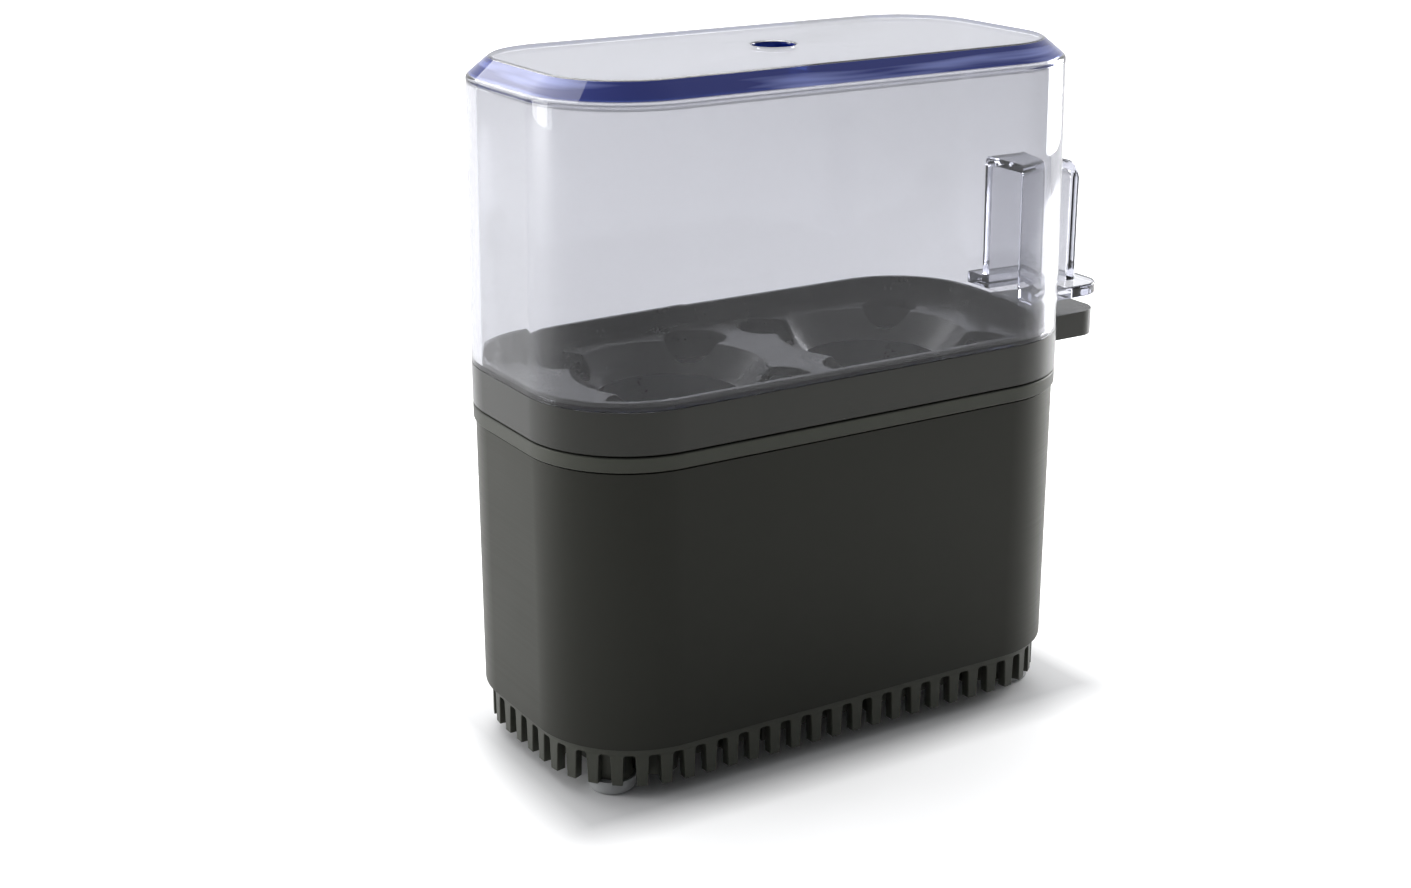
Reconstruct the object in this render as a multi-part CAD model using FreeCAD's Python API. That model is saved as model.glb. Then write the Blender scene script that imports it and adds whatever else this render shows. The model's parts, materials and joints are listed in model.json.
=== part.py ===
import FreeCAD, Part
import math
import os

from FreeCAD import Vector

# Two-egg electric egg cooker, in millimetres.
# +Z is up, +X runs along the body towards the grip and the switch, +Y is the rear.
# The origin is the centre of the body on the surface that the feet stand on.
# An outline is a rounded rectangle: (half length, half width, corner radius).
# An inset is how far a piece stands inside the rim outline of the body.

# ---- overall sizes -----------------------------------------------------------
body_length = 127.8
body_width = 66.0
corner_radius = 22.8
foot_height = 3.0
comb_height = 8.7
sleeve_height = 59.95
band_height = 3.15
ring_height = 8.8
lid_wall_height = 59.0
bevel_height = 4.0

# ---- clearances --------------------------------------------------------------
seam_gap = 0.4
moving_clearance = 0.3
sleeve_clearance = 0.2
rim_clearance = 0.25
cutout_clearance = 0.2
pin_clearance = 0.1
thread_clearance = 0.1
groove_clearance = 0.1
wire_gap = 0.1

# ---- sleeve and frame --------------------------------------------------------
sleeve_inset = 0.5
sleeve_wall = 0.6
sleeve_flange_width = 1.9
frame_wall = 2.0
band_wall = 3.1
deck_thickness = 2.0
post_radius = 4.5
post_height = 25.6
post_inset_x = 20.4
post_inset_y = 9.5
post_rib_width = 2.4
lug_width = 12.0
lug_height = 4.6
lug_reach = 5.4

# ---- base --------------------------------------------------------------------
base_inset = 1.9
skirt_wall = 2.2
base_plate_thickness = 2.0
comb_slots = 64
slot_width_top = 2.4
slot_width_bottom = 3.0
slot_height = 6.9
slot_corner = 0.7
slot_extra_depth = 0.3
inner_wall_inset = 9.0
inner_wall = 1.4
inner_wall_drop = 5.7
rib_thickness = 1.0
rib_depth = 2.2
rim_wall = 1.6
rim_height = 2.8
screw_boss_radius = 4.8
screw_boss_length = 5.7
vent_count = 7
vent_pitch = 8.0
vent_width = 2.6
vent_length = 22.0

# ---- feet --------------------------------------------------------------------
foot_radius = 5.0
foot_rounding = 1.1
foot_stem_radius = 2.4
foot_stem_length = 5.5
foot_boss_radius = 4.4
foot_inset_x = 11.9
foot_inset_y = 12.5

# ---- dish and gasket ---------------------------------------------------------
dish_sheet = 0.8
dish_depth = 16.45
dish_bottom_rounding = 5.0
dish_wall_inset = 8.2
gasket_thickness = 1.0
gasket_width = 3.7
deck_opening_gap = 0.6

# ---- egg tray ----------------------------------------------------------------
ring_wall = 3.6
ring_lower_wall = 2.2
tray_floor_depth = 2.4
tray_floor_thickness = 2.0
skirt_width = 1.8
lip_height = 1.4
lip_width = 1.2
lip_clearance = 0.4
seat_pitch = 52.0
seat_top_radius = 21.0
seat_bottom_radius = 15.5
seat_wall = 1.8
seat_depth = 6.1
lobe_radius = 6.5
lobe_reach = 24.0
tab_length = 18.1
tab_half_width = 13.0
tab_thickness = 5.8
tab_drop = 2.0
tab_wall = 1.8
tab_corner = 5.5

# ---- lid ---------------------------------------------------------------------
lid_wall = 2.2
lid_draft = 0.9
bevel_run = 4.8
lid_top_thickness = 4.2
steam_hole_radius = 4.5
steam_hole_flare = 0.6
grip_length = 15.1
grip_half_width = 7.5
grip_height = 32.3
grip_wall = 2.0
grip_top_rounding = 4.6
grip_edge_rounding = 1.4
grip_room_gap = 0.5
grip_room_rounding = 0.7
guard_length = 19.1
guard_half_width = 13.0
guard_thickness = 2.7
guard_corner = 6.0
guard_rise = 1.5

# ---- heater ------------------------------------------------------------------
plate_thickness = 5.0
plate_inset = 19.9
plate_width_inset = 10.0
plate_corner = 12.0
element_radius = 3.3
element_leg_spacing = 22.0
element_bend_setback = 22.0
element_end_setback = 6.0
pin_radius = 1.5
pin_length = 13.0
insulator_length = 3.0
stud_radius = 2.0
stud_depth = 4.0
stud_tail = 0.9
stud_places = (-24.0, 16.0)
bridge_width = 10.0
bridge_thickness = 1.5
bridge_drop = 1.3
bridge_end_gap = 1.7
washer_radius = 4.4
washer_thickness = 0.8
nut_across_flats = 7.0
nut_thickness = 3.2
tag_thickness = 0.8
tag_length = 11.0
tag_width = 4.8

# ---- thermostat and thermal fuse ---------------------------------------------
thermostat_x = -4.0
thermostat_radius = 6.8
cup_thickness = 2.1
strap_thickness = 0.8
strap_half_length = 14.0
strap_half_width = 4.0
thermostat_height = 5.7
thermostat_tab_reach = 15.0
thermostat_tab_root = 1.7
thermostat_chamfer = 0.6
blade_width = 4.8
blade_thickness = 0.8
small_screw_radius = 1.45
small_head_radius = 2.7
small_head_height = 1.6
small_screw_depth = 4.0
strap_screw_offset = 11.0
fuse_y = 16.9
fuse_radius = 1.8
fuse_length = 11.0
fuse_lead_radius = 0.5
fuse_lead_reach = 11.4
fuse_sleeve_radius = 2.5
fuse_sleeve_wall = 0.5
fuse_sleeve_length = 20.0
clip_thickness = 0.8
clip_width = 8.0
clip_foot = 3.3

# ---- shield ------------------------------------------------------------------
shield_thickness = 0.8
shield_inset = 4.2
wire_hole_radius = 2.6

# ---- screws ------------------------------------------------------------------
screw_radius = 1.45
screw_head_radius = 2.8
screw_head_height = 1.8
base_screw_reach = 12.0
shield_screw_reach = 7.0
counterbore_clearance = 0.5
drive_depth = 1.0
drive_width = 0.8
drive_reach_share = 0.7

# ---- terminal block ----------------------------------------------------------
block_x = 8.0
block_y = 12.0
block_length = 26.0
block_depth = 12.0
block_height = 9.8
block_stand = 2.5
pole_pitch = 8.5
pole_rise = 4.8
insert_radius = 2.5
insert_bore = 1.5
insert_end = 0.5
clamp_screw_radius = 1.3
clamp_screw_offset = 3.4
clamp_screw_recess = 0.8
block_screw_radius = 1.25
block_screw_head = 2.3
block_screw_head_height = 1.4
block_boss_radius = 2.6
block_boss_floor = 0.5

# ---- cord gland --------------------------------------------------------------
gland_x = 30.0
gland_z = 21.0
gland_flange_radius = 6.5
gland_flange_thickness = 2.0
gland_barrel_radius = 4.6
gland_bore_radius = 3.1
gland_inner_length = 5.7
gland_nut_flats = 13.0
gland_nut_thickness = 3.0

# ---- rocker switch -----------------------------------------------------------
switch_z = 27.0
switch_half_width = 6.2
switch_half_height = 9.2
switch_depth = 15.4
bezel_half_width = 7.6
bezel_half_height = 10.6
bezel_thickness = 2.0
bezel_corner = 1.8
well_half_width = 5.2
well_half_height = 7.9
well_depth = 5.4
rocker_half_width = 4.8
rocker_half_height = 7.0
rocker_end_rise = 4.9
rocker_middle_rise = 3.9
rocker_back = 1.5
rocker_belly = 3.6
rocker_tilt = 10.0
rocker_pivot_inset = 1.0
rocker_pin_radius = 1.0
rocker_pin_end = 6.0
lens_half_width = 2.6
lens_low = 2.2
lens_high = 5.4
lens_thickness = 0.8
lens_clearance = 0.05
lamp_radius = 2.0
lamp_length = 10.0
lamp_setback = 10.0
lamp_pocket_clearance = 0.3
lamp_end_rounding = 0.9
blade_length = 10.0
blade_grip = 2.0
blade_pitch = 6.0
blade_clearance = 0.05

# ---- leads -------------------------------------------------------------------
wire_radius = 1.1
wire_entry = 2.0
wire_bend_share = 0.45
switch_riser_gap = 6.0
neutral_riser_gap = 5.0
earth_riser_y = -16.0
front_lead_y = -20.0
rear_lead_y = 21.5
feed_turn_length = 13.0
neutral_turn_y = -8.0
live_turn_length = 7.0
live_turn_out = 1.6
live_turn_rise = 0.6
live_sag = 1.0

# ---- levels, lowest first ----------------------------------------------------
base_top = foot_height + comb_height
plate_bottom = base_top - base_plate_thickness
frame_bottom = base_top + sleeve_wall + wire_gap
post_top = frame_bottom + post_height
sleeve_top = base_top + sleeve_height
frame_top = sleeve_top + band_height
ring_bottom = frame_top + seam_gap
rim_level = frame_top + seam_gap + ring_height
lid_shoulder = rim_level + lid_wall_height
lid_top = lid_shoulder + bevel_height
gasket_top = sleeve_top + gasket_thickness
dish_top = gasket_top + dish_sheet
dish_bottom = dish_top - dish_depth
heater_bottom = dish_bottom - plate_thickness
bridge_top = heater_bottom - element_radius - bridge_drop
bridge_bottom = bridge_top - bridge_thickness
shield_top = post_top + shield_thickness

rim = (body_length / 2, body_width / 2, corner_radius)
side_slack = 1.0
smallest_radius = 0.5


# ---- helpers -----------------------------------------------------------------
def inset(outline, distance):
    """The outline moved inwards by a distance."""
    half_length, half_width, radius = outline
    return (half_length - distance, half_width - distance, max(radius - distance, smallest_radius))


def outline_wire(outline, z):
    """A closed wire of four straight sides and four quarter arcs."""
    half_length, half_width, radius = outline
    straight_x = half_length - radius
    straight_y = half_width - radius
    edges = []
    for turn, (side_x, side_y) in enumerate(((1, 1), (-1, 1), (-1, -1), (1, -1))):
        centre = Vector(side_x * straight_x, side_y * straight_y, z)
        angles = [math.radians(90 * turn + step) for step in (0, 45, 90)]
        points = [centre + Vector(radius * math.cos(a), radius * math.sin(a), 0) for a in angles]
        edges.append((points[0], Part.Arc(*points).toShape(), points[2]))
    loop = []
    for index, (_, arc, end) in enumerate(edges):
        loop.append(arc)
        following = edges[(index + 1) % len(edges)][0]
        if (following - end).Length > 1e-6:
            loop.append(Part.LineSegment(end, following).toShape())
    return Part.Wire(loop)


def prism(outline, z_low, z_high):
    """A straight block over an outline."""
    face = Part.Face(outline_wire(outline, z_low))
    return face.extrude(Vector(0, 0, z_high - z_low))


def tapered(outline_low, z_low, outline_high, z_high):
    """A block whose outline changes evenly from one level to the next."""
    wires = [outline_wire(outline_low, z_low), outline_wire(outline_high, z_high)]
    return Part.makeLoft(wires, True, True)


def ring(outer, inner, z_low, z_high):
    """The band between two outlines."""
    cutter = prism(inner, z_low - side_slack, z_high + side_slack)
    return prism(outer, z_low, z_high).cut(cutter)


def box(x_range, y_range, z_range):
    """A block between two corners."""
    size = [high - low for low, high in (x_range, y_range, z_range)]
    return Part.makeBox(*size, Vector(x_range[0], y_range[0], z_range[0]))


def rod(radius, start, end):
    """A round bar between two points."""
    axis = Vector(*end) - Vector(*start)
    return Part.makeCylinder(radius, axis.Length, Vector(*start), axis)


def upright(radius, x, y, z_low, z_high):
    """A round bar standing on end."""
    return rod(radius, (x, y, z_low), (x, y, z_high))


def hexagon(across_flats, thickness, start, axis):
    """A six-sided nut blank: its axis starts at a point and follows a direction."""
    radius = across_flats / math.sqrt(3)
    corners = [Vector(radius * math.cos(math.radians(60 * k)), radius * math.sin(math.radians(60 * k)), 0)
               for k in range(6)]
    face = Part.Face(Part.makePolygon(corners + corners[:1]))
    blank = face.extrude(Vector(0, 0, thickness))
    turn = FreeCAD.Rotation(Vector(0, 0, 1), Vector(*axis))
    blank.Placement = FreeCAD.Placement(Vector(*start), turn)
    return blank


def rounded_block(x_range, half_width, z_range, corner):
    """A block centred on y = 0 with its two outer upright corners rounded."""
    block = box(x_range, (-half_width, half_width), z_range)
    outer = [edge for edge in block.Edges
             if abs(edge.Vertexes[0].X - x_range[1]) < 1e-6
             and abs(edge.Vertexes[1].X - x_range[1]) < 1e-6
             and abs(edge.Vertexes[0].Z - edge.Vertexes[1].Z) > 1e-6]
    return block.makeFillet(corner, outer)


def grip_block(x_range, half_width, z_range, top_rounding, edge_rounding):
    """An upright block whose outer end runs over into its top in one round."""
    block = box(x_range, (-half_width, half_width), z_range)
    top_edge = [edge for edge in block.Edges
                if edge.BoundBox.XMin > x_range[1] - 1e-6 and edge.BoundBox.ZMin > z_range[1] - 1e-6]
    block = block.makeFillet(top_rounding, top_edge)
    side_edges = [edge for edge in block.Edges
                  if edge.BoundBox.YLength < 1e-6 and edge.BoundBox.XMax > x_range[0] + 1e-6
                  and edge.BoundBox.ZMax > z_range[0] + 1e-6]
    return block.makeFillet(edge_rounding, side_edges)


def four_places(x, y):
    """The same place in each quarter of the body."""
    return [(side_x * x, side_y * y) for side_x in (-1, 1) for side_y in (-1, 1)]


def one_solid(shape):
    """The single solid of a shape, with needless edges removed."""
    return shape.removeSplitter().Solids[0]


def pan_screw(radius, head_radius, head_height, x, y, seat_z, reach):
    """A round-headed screw with a cross slot: its head is below the seat when reach is upwards."""
    direction = 1 if reach > 0 else -1
    head = rod(head_radius, (x, y, seat_z), (x, y, seat_z - direction * head_height))
    shank = rod(radius, (x, y, seat_z), (x, y, seat_z + reach))
    head_end = seat_z - direction * head_height
    slot_z = sorted((head_end - direction * side_slack, head_end + direction * drive_depth))
    arm = head_radius * drive_reach_share
    slots = [box((x - arm, x + arm), (y - drive_width / 2, y + drive_width / 2), slot_z),
             box((x - drive_width / 2, x + drive_width / 2), (y - arm, y + arm), slot_z)]
    return one_solid(head.fuse(shank).cut(slots))


def lead(points, radius):
    """A round wire along straight runs joined by tangent arcs."""
    route = [Vector(*point) for point in points]
    edges = []
    start = route[0]
    for before, corner, after in zip(route, route[1:], route[2:]):
        into = corner - before
        out_of = after - corner
        half_turn = into.getAngle(out_of) / 2
        shorter = min(into.Length, out_of.Length)
        bend_radius = wire_bend_share * shorter / math.tan(half_turn)
        trim = bend_radius * math.tan(half_turn)
        into.normalize()
        out_of.normalize()
        arc_start = corner - into * trim
        arc_end = corner + out_of * trim
        towards_centre = out_of - into
        towards_centre.normalize()
        centre = corner + towards_centre * (bend_radius / math.cos(half_turn))
        middle = centre - towards_centre * bend_radius
        edges.append(Part.LineSegment(start, arc_start).toShape())
        edges.append(Part.Arc(arc_start, middle, arc_end).toShape())
        start = arc_end
    edges.append(Part.LineSegment(start, route[-1]).toShape())
    path = Part.Wire(edges)
    section = Part.Wire(Part.Circle(route[0], route[1] - route[0], radius).toShape())
    return path.makePipeShell([section], True, True).Solids[0]


# ---- places shared by several pieces -----------------------------------------
sleeve_outer = inset(rim, sleeve_inset)
sleeve_inner = inset(sleeve_outer, sleeve_wall)
frame_outer = inset(sleeve_inner, sleeve_clearance)
frame_inner = inset(frame_outer, frame_wall)
recess = inset(rim, band_wall)
dish_outer = inset(rim, dish_wall_inset)
dish_inner = inset(dish_outer, dish_sheet)
deck_opening = inset(rim, dish_wall_inset - deck_opening_gap)
base_outer = inset(rim, base_inset)
base_inner = inset(base_outer, skirt_wall)
rim_outer = inset(frame_inner, rim_clearance)

post_places = four_places(rim[0] - post_inset_x, rim[1] - post_inset_y)
foot_places = four_places(rim[0] - foot_inset_x, rim[1] - foot_inset_y)
seat_places = [-seat_pitch / 2, seat_pitch / 2]
pole_places = [block_x + pole_pitch * step for step in (-1, 0, 1)]
block_bottom = base_top + block_stand
block_top = block_bottom + block_height
pole_z = block_bottom + pole_rise
block_screw_places = [block_x - pole_pitch / 2, block_x + pole_pitch / 2]
sleeve_face_x = sleeve_outer[0]
sleeve_face_y = sleeve_outer[1]
frame_face_y = frame_inner[1]
bezel_face_x = sleeve_face_x + bezel_thickness
pivot_x = sleeve_face_x - rocker_pivot_inset
switch_back_x = sleeve_face_x - switch_depth
blade_end_x = switch_back_x + blade_grip - blade_length
blade_levels = [switch_z + blade_pitch * step for step in (-1, 0, 1)]
leg_y = element_leg_spacing / 2
plate_half_length = rim[0] - plate_inset
element_bend_x = plate_half_length - element_bend_setback
element_end_x = element_end_setback - plate_half_length
pin_end_x = element_end_x - pin_length
fuse_z = heater_bottom - fuse_sleeve_radius - groove_clearance
cup_bottom = heater_bottom - cup_thickness
strap_bottom = cup_bottom - strap_thickness
thermostat_bottom = strap_bottom - thermostat_height
tab_blade_z = thermostat_bottom - blade_thickness / 2
tag_top = bridge_bottom - washer_thickness
tag_z = tag_top - tag_thickness / 2


# ---- base --------------------------------------------------------------------
def slot_cutter():
    """One vent slot at the origin: along X is its width, +Y points out of the body."""
    depth = skirt_wall + slot_extra_depth
    low = foot_height - side_slack
    high = foot_height + slot_height
    spread = (slot_width_bottom - slot_width_top) / slot_height * side_slack / 2
    half_low = slot_width_bottom / 2 + spread
    half_high = slot_width_top / 2
    corners = [Vector(-half_low, -depth, low), Vector(half_low, -depth, low),
               Vector(half_high, -depth, high), Vector(-half_high, -depth, high)]
    face = Part.Face(Part.makePolygon(corners + corners[:1]))
    block = face.extrude(Vector(0, depth + side_slack, 0))
    top_edges = [edge for edge in block.Edges
                 if abs(edge.Vertexes[0].Z - high) < 1e-6 and abs(edge.Vertexes[1].Z - high) < 1e-6
                 and abs(edge.Vertexes[0].X - edge.Vertexes[1].X) < 1e-6]
    return block.makeFillet(slot_corner, top_edges)


def outline_place(outline, distance):
    """The point and outward direction that a distance along an outline reaches.

    The distance starts at the middle of the front side and runs towards -X.
    """
    half_length, half_width, radius = outline
    straight_x = half_length - radius
    straight_y = half_width - radius
    quarter = math.pi * radius / 2
    stages = [("line", straight_x, (0, -half_width), (-1, 0), 270),
              ("arc", quarter, (-straight_x, -straight_y), None, 270),
              ("line", 2 * straight_y, (-half_length, -straight_y), (0, 1), 180),
              ("arc", quarter, (-straight_x, straight_y), None, 180),
              ("line", 2 * straight_x, (-straight_x, half_width), (1, 0), 90),
              ("arc", quarter, (straight_x, straight_y), None, 90),
              ("line", 2 * straight_y, (half_length, straight_y), (0, -1), 0),
              ("arc", quarter, (straight_x, -straight_y), None, 360),
              ("line", straight_x, (straight_x, -half_width), (-1, 0), 270)]
    for kind, length, start, step, angle in stages:
        if distance <= length:
            if kind == "line":
                return start[0] + step[0] * distance, start[1] + step[1] * distance, angle
            turned = angle - math.degrees(distance / radius)
            return (start[0] + radius * math.cos(math.radians(turned)),
                    start[1] + radius * math.sin(math.radians(turned)), turned)
        distance -= length
    return start[0] - length, start[1], angle


def outline_length(outline):
    """How long the way round an outline is."""
    half_length, half_width, radius = outline
    return 4 * (half_length - radius) + 4 * (half_width - radius) + 2 * math.pi * radius


def placed_round(shape, outline, count, first=0.0):
    """Copies of a shape spread evenly round an outline, each turned to face outwards."""
    pitch = outline_length(outline) / count
    copies = []
    for index in range(count):
        x, y, angle = outline_place(outline, (index + first) * pitch)
        copy = shape.copy()
        turn = FreeCAD.Rotation(Vector(0, 0, 1), angle - 90)
        copy.Placement = FreeCAD.Placement(Vector(x, y, 0), turn)
        copies.append(copy)
    return copies


def base_cover():
    """Plastic base: a comb of vent slots round a plate with its bosses."""
    body = ring(base_outer, base_inner, foot_height, base_top)
    wall_outline = inset(rim, inner_wall_inset)
    wall_low = plate_bottom - inner_wall_drop
    rim_low = inset(rim_outer, rim_wall)
    parts = [prism(base_inner, plate_bottom, base_top),
             ring(wall_outline, inset(wall_outline, inner_wall), wall_low, plate_bottom),
             ring(rim_outer, rim_low, base_top, base_top + rim_height)]
    rib = box((-rib_thickness / 2, rib_thickness / 2), (-inner_wall / 2, rib_depth), (wall_low, plate_bottom))
    parts += placed_round(rib, wall_outline, comb_slots // 2)
    for x, y in post_places:
        parts.append(upright(screw_boss_radius, x, y, plate_bottom - screw_boss_length, plate_bottom))
    for x, y in foot_places:
        parts.append(upright(foot_boss_radius, x, y, foot_height, plate_bottom))
    for x in block_screw_places:
        parts.append(upright(block_boss_radius, x, block_y, base_top, block_bottom))
    body = body.fuse(parts)

    cuts = placed_round(slot_cutter(), base_outer, comb_slots)
    head_seat = plate_bottom - screw_boss_length + screw_head_height + counterbore_clearance
    for x, y in post_places:
        counterbore = screw_head_radius + counterbore_clearance
        cuts.append(upright(counterbore, x, y, foot_height - side_slack, head_seat))
        cuts.append(upright(screw_radius + thread_clearance, x, y, foot_height, base_top + side_slack))
        cuts.append(upright(post_radius + rim_clearance, x, y, base_top, base_top + rim_height + side_slack))
        rib_half = post_rib_width / 2 + rim_clearance
        wall_y = math.copysign(rim[1], y)
        cuts.append(box((x - rib_half, x + rib_half), sorted((y, wall_y)),
                        (base_top, base_top + rim_height + side_slack)))
    for x, y in foot_places:
        cuts.append(upright(foot_stem_radius + thread_clearance, x, y, foot_height - side_slack,
                            foot_height + foot_stem_length + thread_clearance))
    boss_hole_end = plate_bottom + block_boss_floor
    for x in block_screw_places:
        cuts.append(upright(block_screw_radius + thread_clearance, x, block_y, boss_hole_end,
                            block_bottom + side_slack))
    first_vent = -vent_pitch * (vent_count - 1) / 2
    for index in range(vent_count):
        x = first_vent + vent_pitch * index
        cuts.append(box((x - vent_width / 2, x + vent_width / 2),
                        (-vent_length + block_y / 2, block_y / 2 - side_slack),
                        (plate_bottom - side_slack, base_top + side_slack)))
    return [one_solid(body.cut(cuts))]


def rubber_feet():
    """Four soft feet, each with a stem pressed into its boss."""
    feet = []
    for x, y in foot_places:
        pad = upright(foot_radius, x, y, 0, foot_height)
        rounded = [edge for edge in pad.Edges if edge.BoundBox.ZMax < 1e-6]
        pad = pad.makeFillet(foot_rounding, rounded)
        stem = upright(foot_stem_radius, x, y, foot_height, foot_height + foot_stem_length)
        feet.append(one_solid(pad.fuse(stem)))
    return feet


def base_screws():
    """Four screws up through the base into the frame's posts."""
    seat = plate_bottom - screw_boss_length + screw_head_height + counterbore_clearance
    reach = frame_bottom + base_screw_reach - seat
    return [pan_screw(screw_radius, screw_head_radius, screw_head_height, x, y, seat, reach)
            for x, y in post_places]


# ---- sleeve and frame --------------------------------------------------------
def wall_cutouts(clearance):
    """Room in the side walls for the switch body and the gland's barrel."""
    half_width = switch_half_width + clearance
    half_height = switch_half_height + clearance
    switch_room = box((switch_back_x, rim[0] + side_slack), (-half_width, half_width),
                      (switch_z - half_height, switch_z + half_height))
    gland_room = rod(gland_barrel_radius + clearance, (gland_x, frame_face_y - frame_wall, gland_z),
                     (gland_x, rim[1] + side_slack, gland_z))
    return [switch_room, gland_room]


def outer_sleeve():
    """Brushed sheet-metal sleeve with a narrow flange turned in at its foot."""
    wall = ring(sleeve_outer, sleeve_inner, base_top, sleeve_top - moving_clearance)
    flange = ring(sleeve_outer, inset(sleeve_inner, sleeve_flange_width), base_top, base_top + sleeve_wall)
    return [one_solid(wall.fuse(flange).cut(wall_cutouts(cutout_clearance)))]


def housing_frame():
    """Inner plastic frame: wall, top band, deck for the dish, screw posts and lugs."""
    deck_bottom = sleeve_top - deck_thickness
    parts = [ring(frame_outer, frame_inner, frame_bottom, sleeve_top),
             ring(inset(rim, band_wall), deck_opening, deck_bottom, sleeve_top)]
    for x, y in post_places:
        parts.append(upright(post_radius, x, y, frame_bottom, post_top))
        half = post_rib_width / 2
        wall_y = math.copysign(rim[1] - band_wall + side_slack / 2, y)
        parts.append(box((x - half, x + half), sorted((y, wall_y)), (frame_bottom, post_top)))
    for x in stud_places:
        for side in (-1, 1):
            wall_y = side * (frame_face_y + frame_wall / 2)
            inner_y = side * (frame_face_y - lug_reach)
            parts.append(box((x - lug_width / 2, x + lug_width / 2), sorted((inner_y, wall_y)),
                             (bridge_top, bridge_top + lug_height)))
    body = ring(rim, recess, sleeve_top, frame_top).fuse(parts)
    cuts = wall_cutouts(cutout_clearance)
    for x, y in post_places:
        hole = screw_radius + thread_clearance
        base_screw_end = frame_bottom + base_screw_reach
        cuts.append(upright(hole, x, y, frame_bottom - side_slack, base_screw_end + side_slack))
        cuts.append(upright(hole, x, y, post_top - shield_screw_reach - side_slack, post_top + side_slack))
    return [one_solid(body.cut(cuts))]


# ---- dish, gasket and heater -------------------------------------------------
def heating_dish():
    """Pressed water dish with a flange that lies on the gasket."""
    flange = prism(inset(recess, moving_clearance), gasket_top, dish_top)
    bowl = prism(dish_outer, dish_bottom, dish_top)
    hollow = prism(dish_inner, dish_bottom + dish_sheet, dish_top + side_slack)
    bowl = bowl.makeFillet(dish_bottom_rounding, bottom_edges(bowl, dish_bottom))
    inner_edges = bottom_edges(hollow, dish_bottom + dish_sheet)
    hollow = hollow.makeFillet(dish_bottom_rounding - dish_sheet, inner_edges)
    return [one_solid(bowl.fuse(flange).cut(hollow))]


def bottom_edges(shape, level):
    """The edges of a shape that lie in one level."""
    return [edge for edge in shape.Edges
            if abs(edge.BoundBox.ZMax - level) < 1e-6 and abs(edge.BoundBox.ZMin - level) < 1e-6]


def dish_gasket():
    """Flat silicone ring between the frame's deck and the dish flange."""
    outer = inset(recess, moving_clearance)
    return [ring(outer, inset(outer, gasket_width), sleeve_top, gasket_top)]


def element_shape(radius):
    """A U of round bar: two legs and a half ring."""
    centre = Vector(element_bend_x, 0, heater_bottom)
    bend = Part.makeTorus(leg_y, radius, centre, Vector(0, 0, 1))
    half = box((element_bend_x, element_bend_x + 2 * leg_y), (-2 * leg_y, 2 * leg_y),
               (heater_bottom - 2 * radius, heater_bottom + 2 * radius))
    legs = [rod(radius, (element_end_x, y, heater_bottom), (element_bend_x, y, heater_bottom))
            for y in (-leg_y, leg_y)]
    return bend.common(half).fuse(legs)


def strap_screw_places():
    """The two screws that hold the thermostat's strap."""
    return [(thermostat_x - strap_screw_offset, 0), (thermostat_x + strap_screw_offset, 0)]


def fuse_screw_place():
    """The screw that holds the clip of the thermal fuse."""
    riser_y = fuse_y + fuse_sleeve_radius + thread_clearance + clip_thickness
    return (thermostat_x, riser_y + clip_foot / 2)


def heater_plate():
    """Cast plate under the dish, with a groove for the element and tapped holes."""
    outline = (plate_half_length, rim[1] - plate_width_inset, plate_corner)
    plate = prism(outline, heater_bottom, dish_bottom)
    cuts = [element_shape(element_radius + groove_clearance)]
    for x in stud_places:
        cuts.append(upright(stud_radius + thread_clearance, x, 0, heater_bottom - side_slack,
                            heater_bottom + stud_depth + thread_clearance))
    for x, y in strap_screw_places() + [fuse_screw_place()]:
        cuts.append(upright(small_screw_radius + thread_clearance, x, y, heater_bottom - side_slack,
                            heater_bottom + small_screw_depth + thread_clearance))
    groove = element_radius + groove_clearance
    run_out = [rod(groove, (-rim[0], y, heater_bottom), (element_end_x, y, heater_bottom))
               for y in (-leg_y, leg_y)]
    return [one_solid(plate.cut(cuts + run_out))]


def heater_element():
    """Tubular heating element bent to a U."""
    return [one_solid(element_shape(element_radius))]


def heater_insulators():
    """Ceramic beads that close the ends of the element."""
    beads = []
    bead_end_x = element_end_x - insulator_length
    for y in (-leg_y, leg_y):
        bead = rod(element_radius, (bead_end_x, y, heater_bottom), (element_end_x, y, heater_bottom))
        bore = rod(pin_radius + thread_clearance, (bead_end_x - side_slack, y, heater_bottom),
                   (element_end_x, y, heater_bottom))
        beads.append(bead.cut(bore))
    return beads


def heater_pins():
    """The element's two cold pins."""
    return [rod(pin_radius, (pin_end_x, y, heater_bottom), (element_end_x, y, heater_bottom))
            for y in (-leg_y, leg_y)]


def nut_levels():
    """The top of each clamp nut: the second stud also carries the earth tag."""
    return [tag_top, tag_top - tag_thickness]


def clamp_studs():
    """Two studs that hang from the heater plate."""
    return [upright(stud_radius, x, 0, nut_top - nut_thickness - stud_tail, heater_bottom + stud_depth)
            for x, nut_top in zip(stud_places, nut_levels())]


def clamp_bridges():
    """Two strips that push up against the frame's lugs and so pull the dish down."""
    reach = frame_face_y - bridge_end_gap
    strips = []
    bore = stud_radius + moving_clearance
    for x in stud_places:
        x_range = (x - bridge_width / 2, x + bridge_width / 2)
        strip = box(x_range, (-reach, reach), (bridge_bottom, bridge_top))
        hole = upright(bore, x, 0, bridge_bottom - side_slack, bridge_top + side_slack)
        strips.append(strip.cut(hole))
    return strips


def clamp_washers():
    """A washer under each clamp nut."""
    washers = []
    for x in stud_places:
        disc = upright(washer_radius, x, 0, tag_top, bridge_bottom)
        hole = upright(stud_radius + moving_clearance, x, 0, tag_top - side_slack, bridge_bottom + side_slack)
        washers.append(disc.cut(hole))
    return washers


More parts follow.
